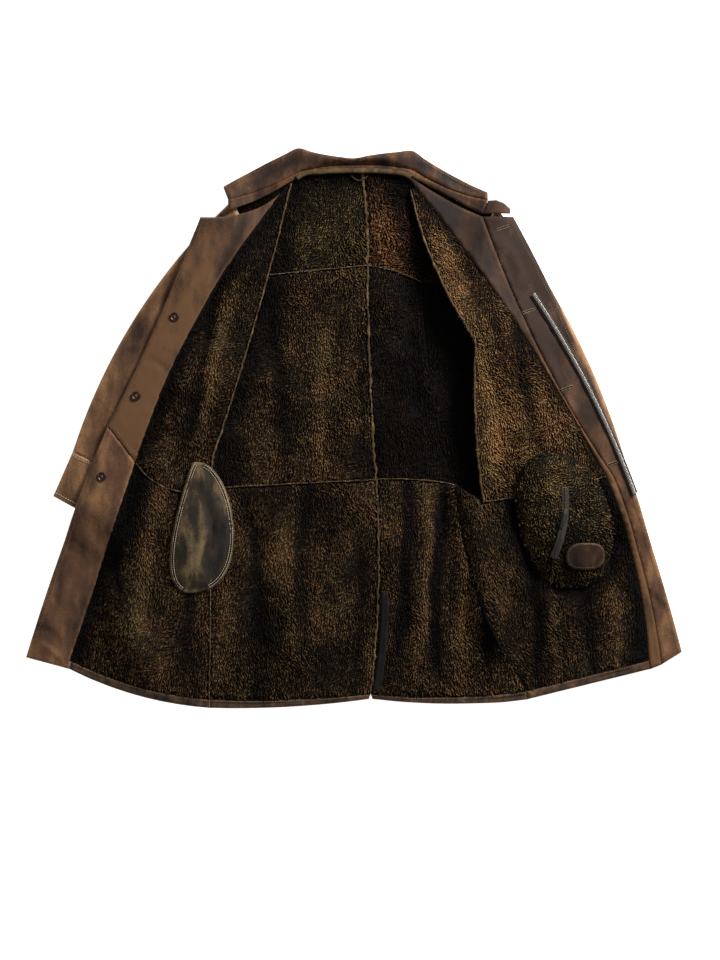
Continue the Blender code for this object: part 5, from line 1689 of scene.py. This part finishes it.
def close_seams(fronts: Fronts, back: Back, facings: Facings, hem: Hem) -> None:
    """Lay seam allowances, darkened as painted shade, low under the seams where wool meets suede."""
    pairs = ((facings, "facing_left_lower", fronts, "front_skirt_left"),
             (facings, "facing_left_upper", fronts, "front_body_left"),
             (facings, "facing_right_strip", fronts, "front_skirt_right"),
             (facings, "facing_right_strip", fronts, "front_body_right"),
             (hem, "hem_band_front_left", fronts, "front_skirt_left"),
             (hem, "hem_band_back_left", back, "back_skirt_left"),
             (hem, "hem_band_back_right", back, "back_skirt_right"),
             (hem, "hem_band_front_right", fronts, "front_skirt_right"))
    for first, name, second, neighbour in pairs:
        pile = second.panels[neighbour].cloth
        line = pile.run_beside(first.panels[name].cloth, 0.5 * MM, -3.6 * MM)
        dark_seam("seam_" + name + "_" + neighbour, line, 6 * MM)


@dataclass(frozen=True)
class Studio:
    """A plain white floor, soft overhead light and a camera straight above."""
    view_height: float = 1.728
    lens: float = 85.0
    sensor: float = 36.0
    centre: tuple[float, float] = (0.0108, -0.0909)

    def make(self) -> None:
        """Set up the floor, world, lights and camera."""
        self.floor()
        self.light("key", (1.7, 1.8, 1.7), 0.8, 150.0)
        self.light("fill", (-1.4, -0.6, 2.4), 2.0, 12.0)
        world = bpy.data.worlds.new("studio")
        world.use_nodes = True
        ground = world.node_tree.nodes["Background"]
        ground.inputs["Color"].default_value = (1.0, 1.0, 1.0, 1.0)
        ground.inputs["Strength"].default_value = 0.16
        scene = bpy.context.scene
        scene.world = world
        scene.view_settings.view_transform = "Standard"
        camera_data = bpy.data.cameras.new("camera")
        camera_data.lens, camera_data.sensor_width = self.lens, self.sensor
        camera_data.clip_end = 50.0
        camera = bpy.data.objects.new("camera", camera_data)
        distance = self.view_height * self.lens / self.sensor
        camera.location = (self.centre[0], self.centre[1], distance)
        scene.collection.objects.link(camera)
        scene.camera = camera

    def floor(self) -> None:
        """Lay the white floor."""
        half = 6.0
        points = np.array([(-half, -half, -0.001), (half, -half, -0.001), (half, half, -0.001), (-half, half, -0.001)])
        floor = link_mesh("floor", points, [(0, 1, 2, 3)])
        material, tree, shader = blank_material("white_paper")
        shader.inputs["Base Color"].default_value = (0.85, 0.85, 0.85, 1.0)
        shader.inputs["Roughness"].default_value = 1.0
        shader.inputs["Specular IOR Level"].default_value = 0.0
        shader.inputs["Emission Color"].default_value = (1.0, 1.0, 1.0, 1.0)
        shader.inputs["Emission Strength"].default_value = 0.9
        floor.data.materials.append(material)

    @staticmethod
    def light(name: str, place: tuple[float, float, float], size: float, power: float) -> None:
        """Hang one square soft light aimed at the coat's middle."""
        data = bpy.data.lights.new(name, "AREA")
        data.size, data.energy = size, power
        light = bpy.data.objects.new(name, data)
        light.location = place
        light.rotation_euler = (-Vector(place)).to_track_quat("-Z", "Y").to_euler()
        bpy.context.scene.collection.objects.link(light)


def main() -> None:
    """Build the coat."""
    logging.basicConfig(level=logging.INFO, format="%(message)s")
    TREES["locks"], TREES["row"] = lock_tree(), row_tree()
    LOCK.append(lock_shape())
    back, fronts, facings = Back(), Fronts(), Facings()
    back.make()
    fronts.make(back)
    facings.make()
    hem = Hem()
    hem.make()
    Sleeves().make()
    Collar().make()
    Pockets().make()
    Fastenings().make(facings)
    close_seams(fronts, back, facings, hem)
    bpy.data.objects.remove(LOCK.pop())
    Studio().make()


if __name__ == "__main__":
    main()
